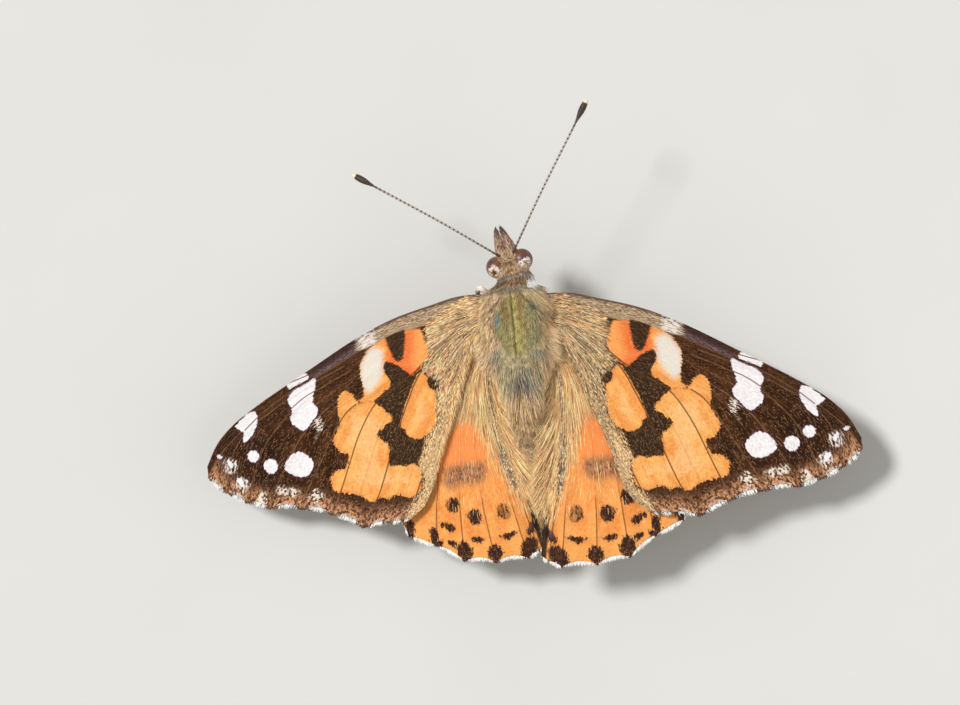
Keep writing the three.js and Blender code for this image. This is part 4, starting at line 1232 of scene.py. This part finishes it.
# %% Palps and tongue
palp_path = [(0.45, 7.5, 10.3), (0.46, 8.5, 10.5), (0.36, 9.4, 10.9), (0.24, 10.25, 11.25)]
palp_rows, palp_sides = 80, 28
palp_rings = {}
for name, side in both_sides.items():
    path = smooth_line([(side * x, y, z) for x, y, z in palp_path], palp_rows)
    share = np.linspace(0, 1, palp_rows)
    radii = 0.44 * (1 - 0.78 * share**1.6) * np.sqrt(np.clip(1 - (2 * share - 1) ** 12, 0.02, 1))
    rings = tube(path, radii, palp_sides)
    palp_rings[name] = rings
    tan = blend(ink(150, 106, 80), ink(190, 146, 118), 0.5 + 0.5 * np.sin(40 * share))
    tint = np.repeat(blend(tan, ink(84, 60, 54), rise(share, 0.5, 0.9))[:, None], palp_sides, axis=1)
    put_piece("palp_skin_" + name, closed_tube(head_turned(rings), tint=tint), [hide_paint],
              replaces=["palp_" + name])

turns, outer, inner = 3.4, 1.12, 0.25
coil_rows, coil_sides = 420, 14
angle = np.linspace(0, turns * 2 * math.pi, coil_rows)
reach = outer + (inner - outer) * angle / angle[-1]
coil_path = np.stack([0 * angle, 8.15 - reach * np.sin(angle), 8.4 + reach * np.cos(angle)], -1)
coil_radii = (0.12 - 0.05 * angle / angle[-1]) * (1 + 0.05 * np.sin(angle * 24))
coil_rings = head_turned(tube(coil_path, coil_radii, coil_sides))
coil_tint = np.broadcast_to(ink(104, 66, 36), (coil_rows, coil_sides, 4))
put_piece("tongue_coil", closed_tube(coil_rings, tint=coil_tint), [tinted("tongue", 0.35, 0.05, 0.01)],
          replaces=["proboscis"])

# %% [markdown]
# A feeler is a string of some forty short beads, each with a ring of white scales at its foot, and a black
# club with a cream tip. The ring pattern follows the distance along the shaft, so it is stored as a field.

# %% Feelers
bead = 0.42
club_length, club_end = 2.4, 0.85
feeler_rows, feeler_sides = 640, 16


def feeler_paint():
    paint = Paint("feeler_beads", Roughness=0.45, Specular_IOR_Level=0.4)
    along, to_tip = paint.field("along"), paint.field("to_tip")
    fine = paint.noise(paint.place(14000))
    foot = paint.node("ShaderNodeMath", {"operation": "FRACT"}, {0: along * (1 / bead)})
    white = paint.rise(foot + (fine - 0.5) * 0.6, 0.8, 0.6) * paint.rise(to_tip, 1.6, 4)
    white = white * (paint.rise(along, 0.4, 1.2) * 0.5 + paint.rise(along, 1, 5) * 0.5)
    paint.bump(fine, 0.01, 0.5)
    return paint.finish(paint.layers(
        paint.mix(ink(40, 29, 24), ink(84, 62, 50), paint.rise(fine, 0.4, 0.7)),
        (ink(188, 178, 164), white * 0.7),
        (ink(232, 208, 176), paint.rise(to_tip, 0.42, 0.28))))


def put_feeler(name, points):
    """A beaded shaft: the radius follows a wave in each bead, and swells smoothly into a round-ended club."""
    path = smooth_line(points, feeler_rows)
    along = np.linspace(0, length_of(path), feeler_rows)
    to_tip = along[-1] - along
    shaft = 0.095 * (1 + 0.1 * np.cos(2 * math.pi * along / bead)) + 0.05 * fall(along, 0, 0.6)
    rounded = np.sqrt(np.clip(1 - (1 - to_tip / club_end) ** 2, 0.01, 1))
    club = 0.3 * np.where(to_tip < club_end, rounded, 1) * (1 + 0.05 * np.cos(2 * math.pi * along / 0.2))
    rings = tube(path, shaft + (club - shaft) * fall(to_tip, 1.0, club_length), feeler_sides)
    fields = {"along": np.repeat(along, feeler_sides), "to_tip": np.repeat(to_tip, feeler_sides)}
    put_piece("feeler_" + name, closed_tube(rings, **fields), [feeler_material],
              replaces=["antenna_" + name])


feeler_material = feeler_paint()
put_feeler("right", [(0.5, 7.9, 11.4), (3.6, 12.6, 12.9), (7.7, 18.7, 13.9), (8.97, 20.7, 14)])
put_feeler("left", [(-0.6, 7.7, 11.4), (-5.6, 11.4, 13), (-11.1, 15.2, 13.9), (-12.97, 16.5, 14)])

# %% [markdown]
# The four walking legs have a scaly thigh and shin, a foot of five short joints, two claws, and spines
# along shin and foot. The front pair is folded under the head and hairy like a brush, as in all of this
# family.

# %% Legs
leg_paths = {
    "foreleg": [(0.5, 3.7, 9.2), (1, 4.7, 8.5), (1.15, 6, 8.2), (0.95, 7.1, 8.1)],
    "midleg_right": [(0.8, 1.8, 8.4), (1.5, 2.7, 8), (3.2, 3.5, 9.2), (4.9, 3.5, 5), (6.6, 2.5, 0.9),
                     (7, 2.2, 0.18), (7.9, 1.9, 0.15)],
    "midleg_left": [(0.8, 1.8, 8.4), (1.5, 2.9, 8), (2.9, 5.15, 9.6), (4.3, 4.15, 5), (6.6, 3.2, 0.9),
                    (7, 2.9, 0.18), (7.9, 2.6, 0.15)],
    "hindleg": [(0.8, -0.6, 8.3), (1.6, -1.3, 7.5), (3.5, -3.6, 7.8), (5, -6, 4), (6, -7.5, 0.9),
                (6.3, -8, 0.18), (6.8, -8.9, 0.15)],
}
leg_radii = {"foreleg": [0.26, 0.28, 0.22, 0.14], "leg": [0.34, 0.33, 0.24, 0.2, 0.15, 0.13, 0.11]}
leg_rows, leg_sides = 260, 18
ground_clearance = 0.01
leg_paint = tinted("leg_scales", 0.5, 0.1, 0.02)


def put_leg(name, side):
    """A jointed tube. The rings and their colours come back too, for the scales that grow on them."""
    walks = not name.startswith("foreleg")
    points = leg_paths.get(name) or leg_paths[name.split("_")[0]]
    at_knots = leg_radii["leg" if walks else "foreleg"]
    knots = np.column_stack([[(side * x, y, z) for x, y, z in points], at_knots])
    line = smooth_line(knots, leg_rows)
    path, radii = line[:, :3], line[:, 3]
    along = np.linspace(0, 1, leg_rows)
    joints = 1 + 0.12 * np.cos(2 * math.pi * along * 28) * rise(along, 0.78, 0.84)
    rings = tube(path, radii * joints, leg_sides)
    rings[..., 2] = np.maximum(rings[..., 2], ground_clearance)
    scaly = layers(
        blend(ink(186, 162, 132), ink(120, 94, 70), 0.5 + 0.5 * np.sin(along * 90)),
        (ink(96, 62, 42), fall(along, 0.14, 0.24)),
        (ink(240, 232, 224), bell(along, 0.3, 0.035) * walks),
        (ink(132, 86, 50), rise(along, 0.72, 0.8) * walks))
    tint = np.repeat(scaly[:, None], leg_sides, axis=1)
    put_piece(name + "_skin", closed_tube(rings, tint=tint), [leg_paint], replaces=[name])
    return rings, tint


leg_skins = {f"{node}_{name}": put_leg(f"{node}_{name}", side)
             for node in ("foreleg", "midleg", "hindleg") for name, side in both_sides.items()}

# %% [markdown]
# Hair and fringe are thousands of thin three-sided blades. Each is a short tapering tube with three corners
# to a ring, which catches light like a real hair and stays cheap. Each leaves its root in one direction and
# bends over to another, and it keeps a small patch of its own on the flat map at its root's place.

# %% Blades and where they grow
patch_size = 0.003
blade_broad, blade_thick = 1.2, 0.4
brightest = 0.92
hair_levels, scale_levels = (0, 0.4, 0.75), (0, 0.6)


def blades(roots, normals, leave, arrive, length, width, root_tint, tip_tint, spots, levels=hair_levels):
    """Many blades as one shape. At the share s of its length, a blade's middle line lies at
    root + length (leave (s - s²/2) + arrive s²/2). Its half width there is width times the root of
    1 - s², so that it ends in a point.
    """
    count, steps = len(roots), len(levels)
    s = np.append(levels, 1.0)[None, :, None]
    bent = leave[:, None] * (s - s * s / 2) + arrive[:, None] * s * s / 2
    middle = roots[:, None] + length[:, None, None] * bent
    side = unit(np.cross(unit(leave + arrive), normals))
    over = unit(np.cross(side, unit(leave + arrive)))
    half = (width[:, None] * np.sqrt(1 - s[0, :-1, 0] ** 2))[..., None, None]
    corner = np.radians([90, 210, 330])[None, None, :, None]
    rings = middle[:, :-1, None] + half * (np.cos(corner) * side[:, None, None] * blade_broad
                                           + np.sin(corner) * over[:, None, None] * blade_thick)
    places = np.concatenate([rings.reshape(count, -1, 3), middle[:, -1:]], axis=1)
    own = np.arange(steps * 3).reshape(steps, 3)
    after = np.roll(own, -1, axis=1)
    quads = np.stack([own[:-1], after[:-1], after[1:], own[1:]], -1).reshape(-1, 4)
    ends = np.vstack([np.column_stack([own[-1], after[-1], [3 * steps] * 3]), [[2, 1, 0]]])
    first = (np.arange(count) * (3 * steps + 1))[:, None, None]
    u, v = np.meshgrid(np.arange(3) / 3, np.append(levels, 1.0))
    quad_map = np.stack([np.dstack([u[:-2], v[:-2]]), np.dstack([u[:-2] + 1 / 3, v[:-2]]),
                         np.dstack([u[1:-1] + 1 / 3, v[1:-1]]), np.dstack([u[1:-1], v[1:-1]])], 2)
    tip_map = np.stack([np.column_stack([u[0], v[-2]]), np.column_stack([u[0] + 1 / 3, v[-2]]),
                        np.column_stack([u[0] + 1 / 6, v[-1]])], 1)
    end_map = np.concatenate([tip_map, [[(0, 0), (0.5, 0), (0.25, 0.2)]]])
    flat_map = [(spots[:, None, None] + patch_size * piece).reshape(-1, piece.shape[1], 2)
                for piece in (quad_map.reshape(-1, 4, 2), end_map)]
    share = np.concatenate([np.repeat(levels, 3), [1.0]])[None, :, None]
    tint = np.minimum(root_tint[:, None] + (tip_tint - root_tint)[:, None] * share, brightest)
    return shape_of(places, [(first + quads).reshape(-1, 4), (first + ends).reshape(-1, 3)], flat_map,
                    tint=tint.reshape(-1, 4))


class Growth:
    """Random places on a surface given as a grid, chosen by area times a weight for each grid point."""

    def __init__(self, surface, weight, count, seed):
        self.random = np.random.default_rng(seed)
        self.count = count
        down, across = surface[1:, :-1] - surface[:-1, 1:], surface[1:, 1:] - surface[:-1, :-1]
        area = np.linalg.norm(np.cross(down, across), axis=-1)
        chance = (area * (weight[1:, 1:] + weight[:-1, :-1])).ravel()
        cell = self.random.choice(len(chance), count, p=chance / chance.sum())
        self.row, self.column = np.unravel_index(cell, area.shape)
        self.a, self.b = self.random.random((2, count))
        self.cells = area.shape
        self.roots = self.at(surface)
        along, sideways = np.gradient(surface, axis=(0, 1))
        self.along = unit(self.at(along))
        self.normals = unit(self.at(unit(np.cross(along, sideways))))

    def at(self, values):
        """Grid values at the chosen places: a weighted mean of the four corners of the cell."""
        a, b = [part.reshape((-1,) + (1,) * (values.ndim - 2)) for part in (self.a, self.b)]
        r, c = self.row, self.column
        return ((1 - a) * (1 - b) * values[r, c] + a * (1 - b) * values[r + 1, c]
                + (1 - a) * b * values[r, c + 1] + a * b * values[r + 1, c + 1])

    def upward(self):
        """The normals, each turned so that it points up."""
        return self.normals * np.sign(self.normals[:, 2:])

    def flat(self):
        """The places on the surface's own flat map: way across, then way along."""
        return np.column_stack([(self.column + self.b) / self.cells[1], (self.row + self.a) / self.cells[0]])

    def spread(self, low, high):
        """A random number for each place."""
        return self.random.uniform(low, high, self.count)

    def shades(self, low, high):
        """A random factor for each place that makes a colour lighter or darker and leaves its alpha."""
        return np.column_stack([self.spread(low, high)] * 3 + [np.ones(self.count)])

    def pick(self, *colours):
        """One of some colours for each place, made up to two fifths lighter or darker."""
        chosen = np.array(colours)[self.random.integers(0, len(colours), self.count)]
        return chosen * self.shades(0.6, 1.4)

    def jitter(self, amount):
        """A random small vector for each place."""
        return self.random.normal(0, amount, (self.count, 3))


def hair_paint():
    paint = Paint("hair", Specular_IOR_Level=0.3, Sheen_Weight=0.25, Sheen_Roughness=0.4)
    fine = paint.noise(paint.place(6000))
    darker = paint.rise(fine, 0.55, 0.8) * 0.15
    return paint.finish(paint.mix(paint.field("tint", 0), ink(96, 66, 40), darker), fine * 0.2 + 0.4)


def put_coat(name, shape):
    """A piece made of blades, which all share one paint and keep their flat faces."""
    put_piece(name, shape, [hair_material], smooth=False)


hair_material = hair_paint()
print("a blade has", 2 * 3 * 2 + 3 + 1, "triangles")

# %% [markdown]
# On the wings' bases hairs grow from the body outwards and lie along the flow. Short broad ones in tan and
# olive cover the forewing's base, with longer cream ones near its root. On the inner half of the hindwing
# they are long and golden and hide the pattern, and darker ones stand up along one ridge. In the
# photograph the sun falls on the left wing, so the tan hairs of the left forewing are lighter and warmer.

# %% Hair on the wings
tan_hairs = [ink(240, 206, 154), ink(224, 172, 116), ink(200, 166, 112), ink(104, 84, 64), ink(232, 178, 126),
             ink(152, 140, 104), ink(92, 74, 60), ink(126, 110, 90)]
# Grey-brown hairs for the right forewing's inner edge, dark in part as painted shadow where it lies over the
# hindwing.
edge_and_shadow_hairs = [ink(128, 104, 84), ink(92, 72, 62), ink(156, 130, 102), ink(200, 168, 130)]
ridge_hairs = [ink(116, 96, 80), ink(150, 128, 104), ink(84, 70, 62)]
cream_hairs = [ink(255, 234, 200), ink(255, 222, 176), ink(250, 206, 160)]
golden_hairs = [ink(255, 222, 166), ink(252, 204, 142), ink(244, 184, 116), ink(250, 206, 156),
                ink(190, 136, 84)]
brown_hairs = golden_hairs[:4] + [ink(236, 184, 126), ink(206, 156, 106), ink(142, 108, 78)]
orange_hairs = [ink(255, 190, 120), ink(250, 162, 96), ink(255, 208, 146), ink(240, 144, 84)]
sunlit = {"forewing_right": (1, 1, 1), "forewing_left": (2.5, 1.45, 1.4)}


def wing_hair(name, weight, count, seed, length, lift, width, hairs, other_hairs, other, fade):
    """Hairs on a wing's upper face. length is a grid, and other the share of other_hairs at each grid place.

    At its root a hair has fade times the colour of its tip.
    """
    grown = Growth(wing_surface(name, 1), weight, count, seed)
    normals = grown.upward()
    leave = unit(grown.along + normals * grown.spread(lift, 2.5 * lift)[:, None] + grown.jitter(0.09))
    arrive = unit(grown.along - normals * 0.04 + grown.jitter(0.07))
    if kind_of(name) == "hindwing":
        outwards = np.array([wing_poses[name]["side"] * 0.3, 0, 0])
        arrive = unit(arrive - outwards * rise(grown.at(hindwing["haze"]), 0, 1.5)[:, None])
    reach = grown.at(length) * grown.spread(0.55, 1.15)
    is_other = (grown.at(other) + grown.spread(-0.25, 0.25) > 0.5)[:, None]
    tint = np.where(is_other, grown.pick(*other_hairs), grown.pick(*hairs))
    return blades(grown.roots, normals, leave, arrive, reach, width * grown.spread(0.7, 1.3), tint * fade,
                  tint, grown.at(wing_map(name)))


share, across = forewing["share"], forewing["across"]
base = rise(forewing["tan"], -0.3, 0.4) * (1 - 0.9 * rise(forewing["hairless"], -0.5, -0.1))
near_root = fall(share, 0.1, 0.7)
short_weight = base * (0.5 + near_root + 0.4 * rise(across, 6, 9)) * rise(share, 0.01, 0.05)
golden = rise(across, 6.5, 9) * rise(share, 0.45, 0.75) * fall(across, 9.3, 9.8)
long_weight = base * fall(share, 0.05, 0.3) * rise(share, 0.01, 0.05) * rise(across, 1, 2.5)
long_length = 0.3 + 1.2 * np.maximum(forewing["tan"], 0)
for seed, (name, light) in enumerate(sunlit.items(), 11):
    lit_hairs = np.minimum(np.array(tan_hairs) * [*light, 1], 0.9)
    short = wing_hair(name, short_weight, 7400, seed, 0.22 + 0.24 * near_root, 0.05, 0.03, lit_hairs,
                      golden_hairs, golden, 0.7)
    long = wing_hair(name, long_weight, 400, seed + 40, long_length, 0.07, 0.016, cream_hairs, tan_hairs,
                     0.6 + 0 * share, 0.8)
    put_coat(name + "_hair", joined(short, long))

share, across = hindwing["share"], hindwing["across"]
hazy = (0.1 + rise(hindwing["haze"], -1.6, 0.8)) * fall(share, 0.68, 0.88) * rise(share, 0.01, 0.05)
ridge = bell(across, 6.9, 0.3) * fall(share, 0.4, 0.75) * rise(share, 0.05, 0.15)
hazy_length = 0.9 + 1.6 * fall(share, 0.2, 0.7) * rise(hindwing["haze"], -2, 1)
for seed, name in enumerate(("hindwing_right", "hindwing_left"), 13):
    hair = wing_hair(name, hazy, 6000, seed, hazy_length, 0.05, 0.017, orange_hairs, golden_hairs,
                     rise(hindwing["haze"], -1.8, 0.4), 0.9)
    grey = wing_hair(name, ridge, 1500, seed + 40, 0.4 + 0 * share, 0.4, 0.026, ridge_hairs, cream_hairs,
                     0.36 + 0 * share, 0.9)
    put_coat(name + "_hair", joined(hair, grey))

# %% [markdown]
# The outer edges carry a fringe of short flat scales, white in the bays and dark where a vein ends. The
# inner edges carry soft hair: short and brown on the right forewing, dark there in part as painted shadow
# where that edge lies over the hindwing, and golden brown on the other wings. It is longest on the
# hindwings, where it closes over the abdomen.

# %% Fringes
outer_rows = slice(-3, None)
inner_strip = slice(8, -10), slice(-5, None)


def wing_middle(name):
    """The places halfway between the two faces of a wing."""
    return (wing_surface(name, 1) + wing_surface(name, -1)) / 2


def wing_fringe(name, seed):
    """Outer fringe: blades that leave the wing's last three rows along the flow."""
    sheet, middle = wing_sheets[kind_of(name)], wing_middle(name)[outer_rows]
    grown = Growth(middle, np.ones(middle.shape[:2]), 2600, seed)
    normals = grown.upward()
    white = grown.at(sheet["arch"][outer_rows])
    if kind_of(name) == "forewing":
        end = grown.at(sheet["across"][outer_rows])
        is_white = (white + grown.spread(-0.3, 0.3) > 0.75) & (end > 1)
        reach = (0.22 + 0.26 * white) * rise(end, 0.3, 1.6) * grown.spread(0.6, 1.2)
    else:
        is_white = white + grown.spread(-0.3, 0.3) > 0.35
        reach = (0.14 + 0.26 * white) * grown.spread(0.5, 1.4)
    white_tint = grown.pick(ink(244, 240, 236), ink(226, 218, 212), ink(250, 248, 246))
    dark_tint = grown.pick(ink(82, 60, 50), ink(120, 92, 78), ink(56, 40, 34))
    tint = np.where(is_white[:, None], white_tint, dark_tint)
    leave = unit(grown.along + grown.jitter(0.1))
    arrive = unit(leave + grown.jitter(0.12) - normals * 0.05)
    return blades(grown.roots, normals, leave, arrive, reach + 0.02, grown.spread(0.03, 0.045), tint * 0.9,
                  tint, grown.at(wing_map(name)[outer_rows]), scale_levels)


def inner_fringe(name, seed, count, length, towards, lift, hairs):
    """Inner fringe: hairs along the inner margin, which leave backwards and bend towards the other wing.

    They are longest and rise most near the body, where they have to pass over it.
    """
    side, middle = wing_poses[name]["side"], wing_middle(name)[inner_strip]
    front = 1 - np.linspace(0, 1, len(middle))[:, None] * np.ones(middle.shape[1])
    grown = Growth(middle, 0.15 + front, count, seed)
    near = grown.at(front)[:, None]
    inwards = np.array([-side * towards, -0.3, 0]) * (0.4 + near) + [0, 0, lift] * near
    normals = grown.upward()
    leave = unit(grown.along + inwards * 0.7 + normals * 0.1 + grown.jitter(0.18))
    arrive = unit(grown.along * 0.8 + inwards - [0, 0, 1.3 * lift] * near + grown.jitter(0.18))
    tint = grown.pick(*hairs) * (0.15 + 0.85 * rise(near, 0.02, 0.25))
    reach = length * (0.1 + 0.9 * rise(near[:, 0], 0, 0.5)) * grown.spread(0.5, 1.15)
    return blades(grown.roots, normals, leave, arrive, reach, grown.spread(0.016, 0.028), tint * 0.9, tint,
                  grown.at(wing_map(name)[inner_strip]))


inner_styles = {  # number of hairs, length, bend towards the other wing, lift, colours
    "forewing_right": (1600, 0.45, 0.1, 0, edge_and_shadow_hairs),
    "forewing_left": (1600, 1.2, 0.5, 0.1, brown_hairs),
    "hindwing_right": (6000, 3.6, 0.8, 0.45, brown_hairs),
    "hindwing_left": (6000, 3.6, 0.8, 0.45, brown_hairs)}
for index, name in enumerate(wing_poses):
    put_coat(name + "_fringe", wing_fringe(name, 20 + index))
    put_coat(name + "_inner_fringe", inner_fringe(name, 30 + index, *inner_styles[name]))

# %% [markdown]
# Fur covers the body from face to tail. It is short and upright on the head, short and combed back on the
# back of the chest, long on the sides and rear, where it spills over the wings' roots, and pale and shaggy
# underneath. Each hair takes the body's colour at its root, a little lighter or darker.

# %% Fur of the body
axis_z = 10.2


def wrapped(grid):
    """A closed grid as an open one: its first column is repeated at the end."""
    return np.concatenate([grid, grid[:, :1]], axis=1)


def body_fur(name, low, high, count, seed):
    """Fur between two stations along the body."""
    surface, tints = wrapped(body), wrapped(body_tints)
    y = surface[..., 1]
    weight = rise(y, low - 0.02, low) * fall(y, high, high + 0.02)
    width = np.linalg.norm(surface[:, 0] - surface[:, surface.shape[1] // 2], axis=-1)
    weight = weight * np.maximum(0.3, 1 - rise(width, 2, 6) * 0.3)[:, None]
    weight = weight * (0.4 + rise(surface[..., 2], 8, 10.5))
    grown = Growth(surface, weight, count, seed)
    x, y, z = grown.roots.T
    outwards = unit(grown.roots - np.column_stack([0 * x, y, 0 * x + axis_z]))
    normals = grown.normals * np.sign((grown.normals * outwards).sum(axis=1))[:, None]
    aside, above = np.abs(x), rise(z, axis_z, 11.4)
    head, face = rise(y, 5.7, 6), rise(y, 6.6, 7.4)
    chest = rise(y, -4.6, -4) * fall(y, 4.8, 5.3)
    disc = chest * above * fall(aside, 1.4, 2) * rise(y, -3.2, -2)
    flank = rise(aside, 2.1, 2.5) * rise(z, 9.3, 9.8) * fall(z, 11, 11.6) * fall(y, 1, 2)
    reach = 0.75 + 0.75 * chest * (1 - disc) * (0.5 + 1.6 * fall(y, -3.4, -1) * above)
    reach = reach - 0.35 * disc - 0.3 * rise(y, 4.8, 5.4) + (0.5 * fall(y, -5, -4)
                                                              + 1.3 * bell(y, -5, 0.9)) * above
    reach = reach + 0.05 * rise(y, 6, 6.4) * rise(aside, 0.6, 1.1) + 0.5 * rise(x, 1.5, 2) * rise(y, 2.5, 3.5)
    reach = reach + 0.5 * bell(y, 5.5, 0.45) * rise(aside, 0.8, 1.3)
    reach = reach + 0.7 * flank
    reach = reach * grown.spread(0.6, 1.2)
    stand = 0.25 + 0.3 * (1 - disc) * chest + 0.55 * head
    lean = -grown.along * (1 - 1.3 * face)[:, None]
    lean = lean + np.column_stack([(0.25 * chest * (1 - disc) + flank) * np.sign(x), 0 * x, 0 * x])
    leave = unit(lean * 0.8 + normals * (stand + 0.25)[:, None] + grown.jitter(0.16))
    arrive = unit(lean + normals * (0.1 * stand)[:, None] + grown.jitter(0.14) - [0, 0, 0.1])
    tint = grown.at(tints) * grown.shades(0.65, 1.6)
    # Hairs on the flanks are painted up to a fifth lighter, to make up for the shade they lie in.
    tint = tint * np.column_stack([grown.spread(0.9, 1.1) + 0.2 * flank for _ in range(3)] + [np.ones(count)])
    # Roots darker; tips painted lighter to make up for the shade the hairs cast on one another.
    fur = blades(grown.roots - normals * 0.03, normals, leave, arrive, reach, grown.spread(0.018, 0.034),
                 tint * [0.7, 0.7, 0.7, 1], tint * [1.2, 1.2, 1.2, 1], grown.flat())
    fur["places"] = head_turned(fur["places"])
    put_coat(name, fur)


body_fur("abdomen_fur", -13.9, -4.2, 7500, 41)
body_fur("chest_fur", -4.2, 1.2, 9500, 42)
body_fur("shoulder_fur", 1.2, 5.1, 8500, 43)
body_fur("head_fur", 5.1, 8.1, 5000, 44)

# %% [markdown]
# The palps and legs have short scales that point towards their tips. The legs have stiff dark spines along
# shin and foot as well, and two claws each, and the brush-like front pair has longer hair.

# %% Scales of palps and legs
def tube_fur(rings, tints, count, seed, length, stand, low=0.0, width=0.028):
    """Short blades all over a tube from the share low of its length on, which lean towards its far end."""
    surface, tints = wrapped(rings), wrapped(tints)
    weight = rise(np.linspace(0, 1, len(surface)), low - 0.01, low + 0.01)[:, None] + 0 * surface[..., 0]
    grown = Growth(surface, weight, count, seed)
    centre = grown.at(np.repeat(rings.mean(axis=1, keepdims=True), surface.shape[1], axis=1))
    normals = unit(grown.roots - centre)
    leave = unit(grown.along + normals * stand + grown.jitter(0.12))
    tint = grown.at(tints) * grown.shades(0.6, 1.5)
    arrive = unit(grown.along + grown.jitter(0.1))
    return blades(grown.roots, normals, leave, arrive, length * grown.spread(0.6, 1.2),
                  width * grown.spread(0.7, 1.25), tint * 0.8, tint * 1.15, grown.flat(), scale_levels)


def claws_of(rings, tints):
    """Two blades that leave a foot's end forwards and to both sides, and bend down."""
    end = rings[-1].mean(axis=0)
    onwards = unit(end - rings[-20].mean(axis=0))
    aside = np.cross(onwards, [0, 0, 1]) * np.array([[1], [-1]])
    leave, arrive = unit(onwards + 0.5 * aside + [0, 0, 0.3]), unit(onwards + 0.2 * aside - [0, 0, 0.5])
    return blades(np.array([end, end]), np.array([[0, 0, 1.0]] * 2), leave, arrive, np.full(2, 0.3),
                  np.full(2, 0.04), tints[:2, 0], tints[:2, 0], np.full((2, 2), 0.98), scale_levels)


palp_tints = [ink(140, 98, 74), ink(184, 142, 112), ink(104, 70, 56), ink(226, 200, 176)]
dark_end = 0.8 * rise(np.linspace(0, 1, palp_rows), 0.5, 0.9)[:, None]
for seed, (name, rings) in enumerate(palp_rings.items()):
    chosen = np.random.default_rng(seed).integers(0, len(palp_tints), rings.shape[:2])
    tints = blend(np.array(palp_tints)[chosen], ink(80, 58, 54), dark_end)
    fur = tube_fur(rings, tints, 1800, 51 + seed, 0.45, 0.45)
    fur["places"] = head_turned(fur["places"])
    put_coat("palp_fur_" + name, fur)
for seed, (name, (rings, tints)) in enumerate(leg_skins.items()):
    if name.startswith("foreleg"):
        fur = tube_fur(rings, tints, 1100, 61 + seed, 0.55, 0.7, width=0.02)
    else:
        spine_tints = np.broadcast_to(ink(60, 40, 30), tints.shape)
        fur = joined(tube_fur(rings, tints, 1000, 61 + seed, 0.22, 0.25),
                     tube_fur(rings, spine_tints, 60, 71 + seed, 0.3, 0.7, 0.35, 0.02),
                     claws_of(rings, spine_tints))
    fur["places"][:, 2] = np.maximum(fur["places"][:, 2], ground_clearance)
    put_coat(name + "_scales", fur)
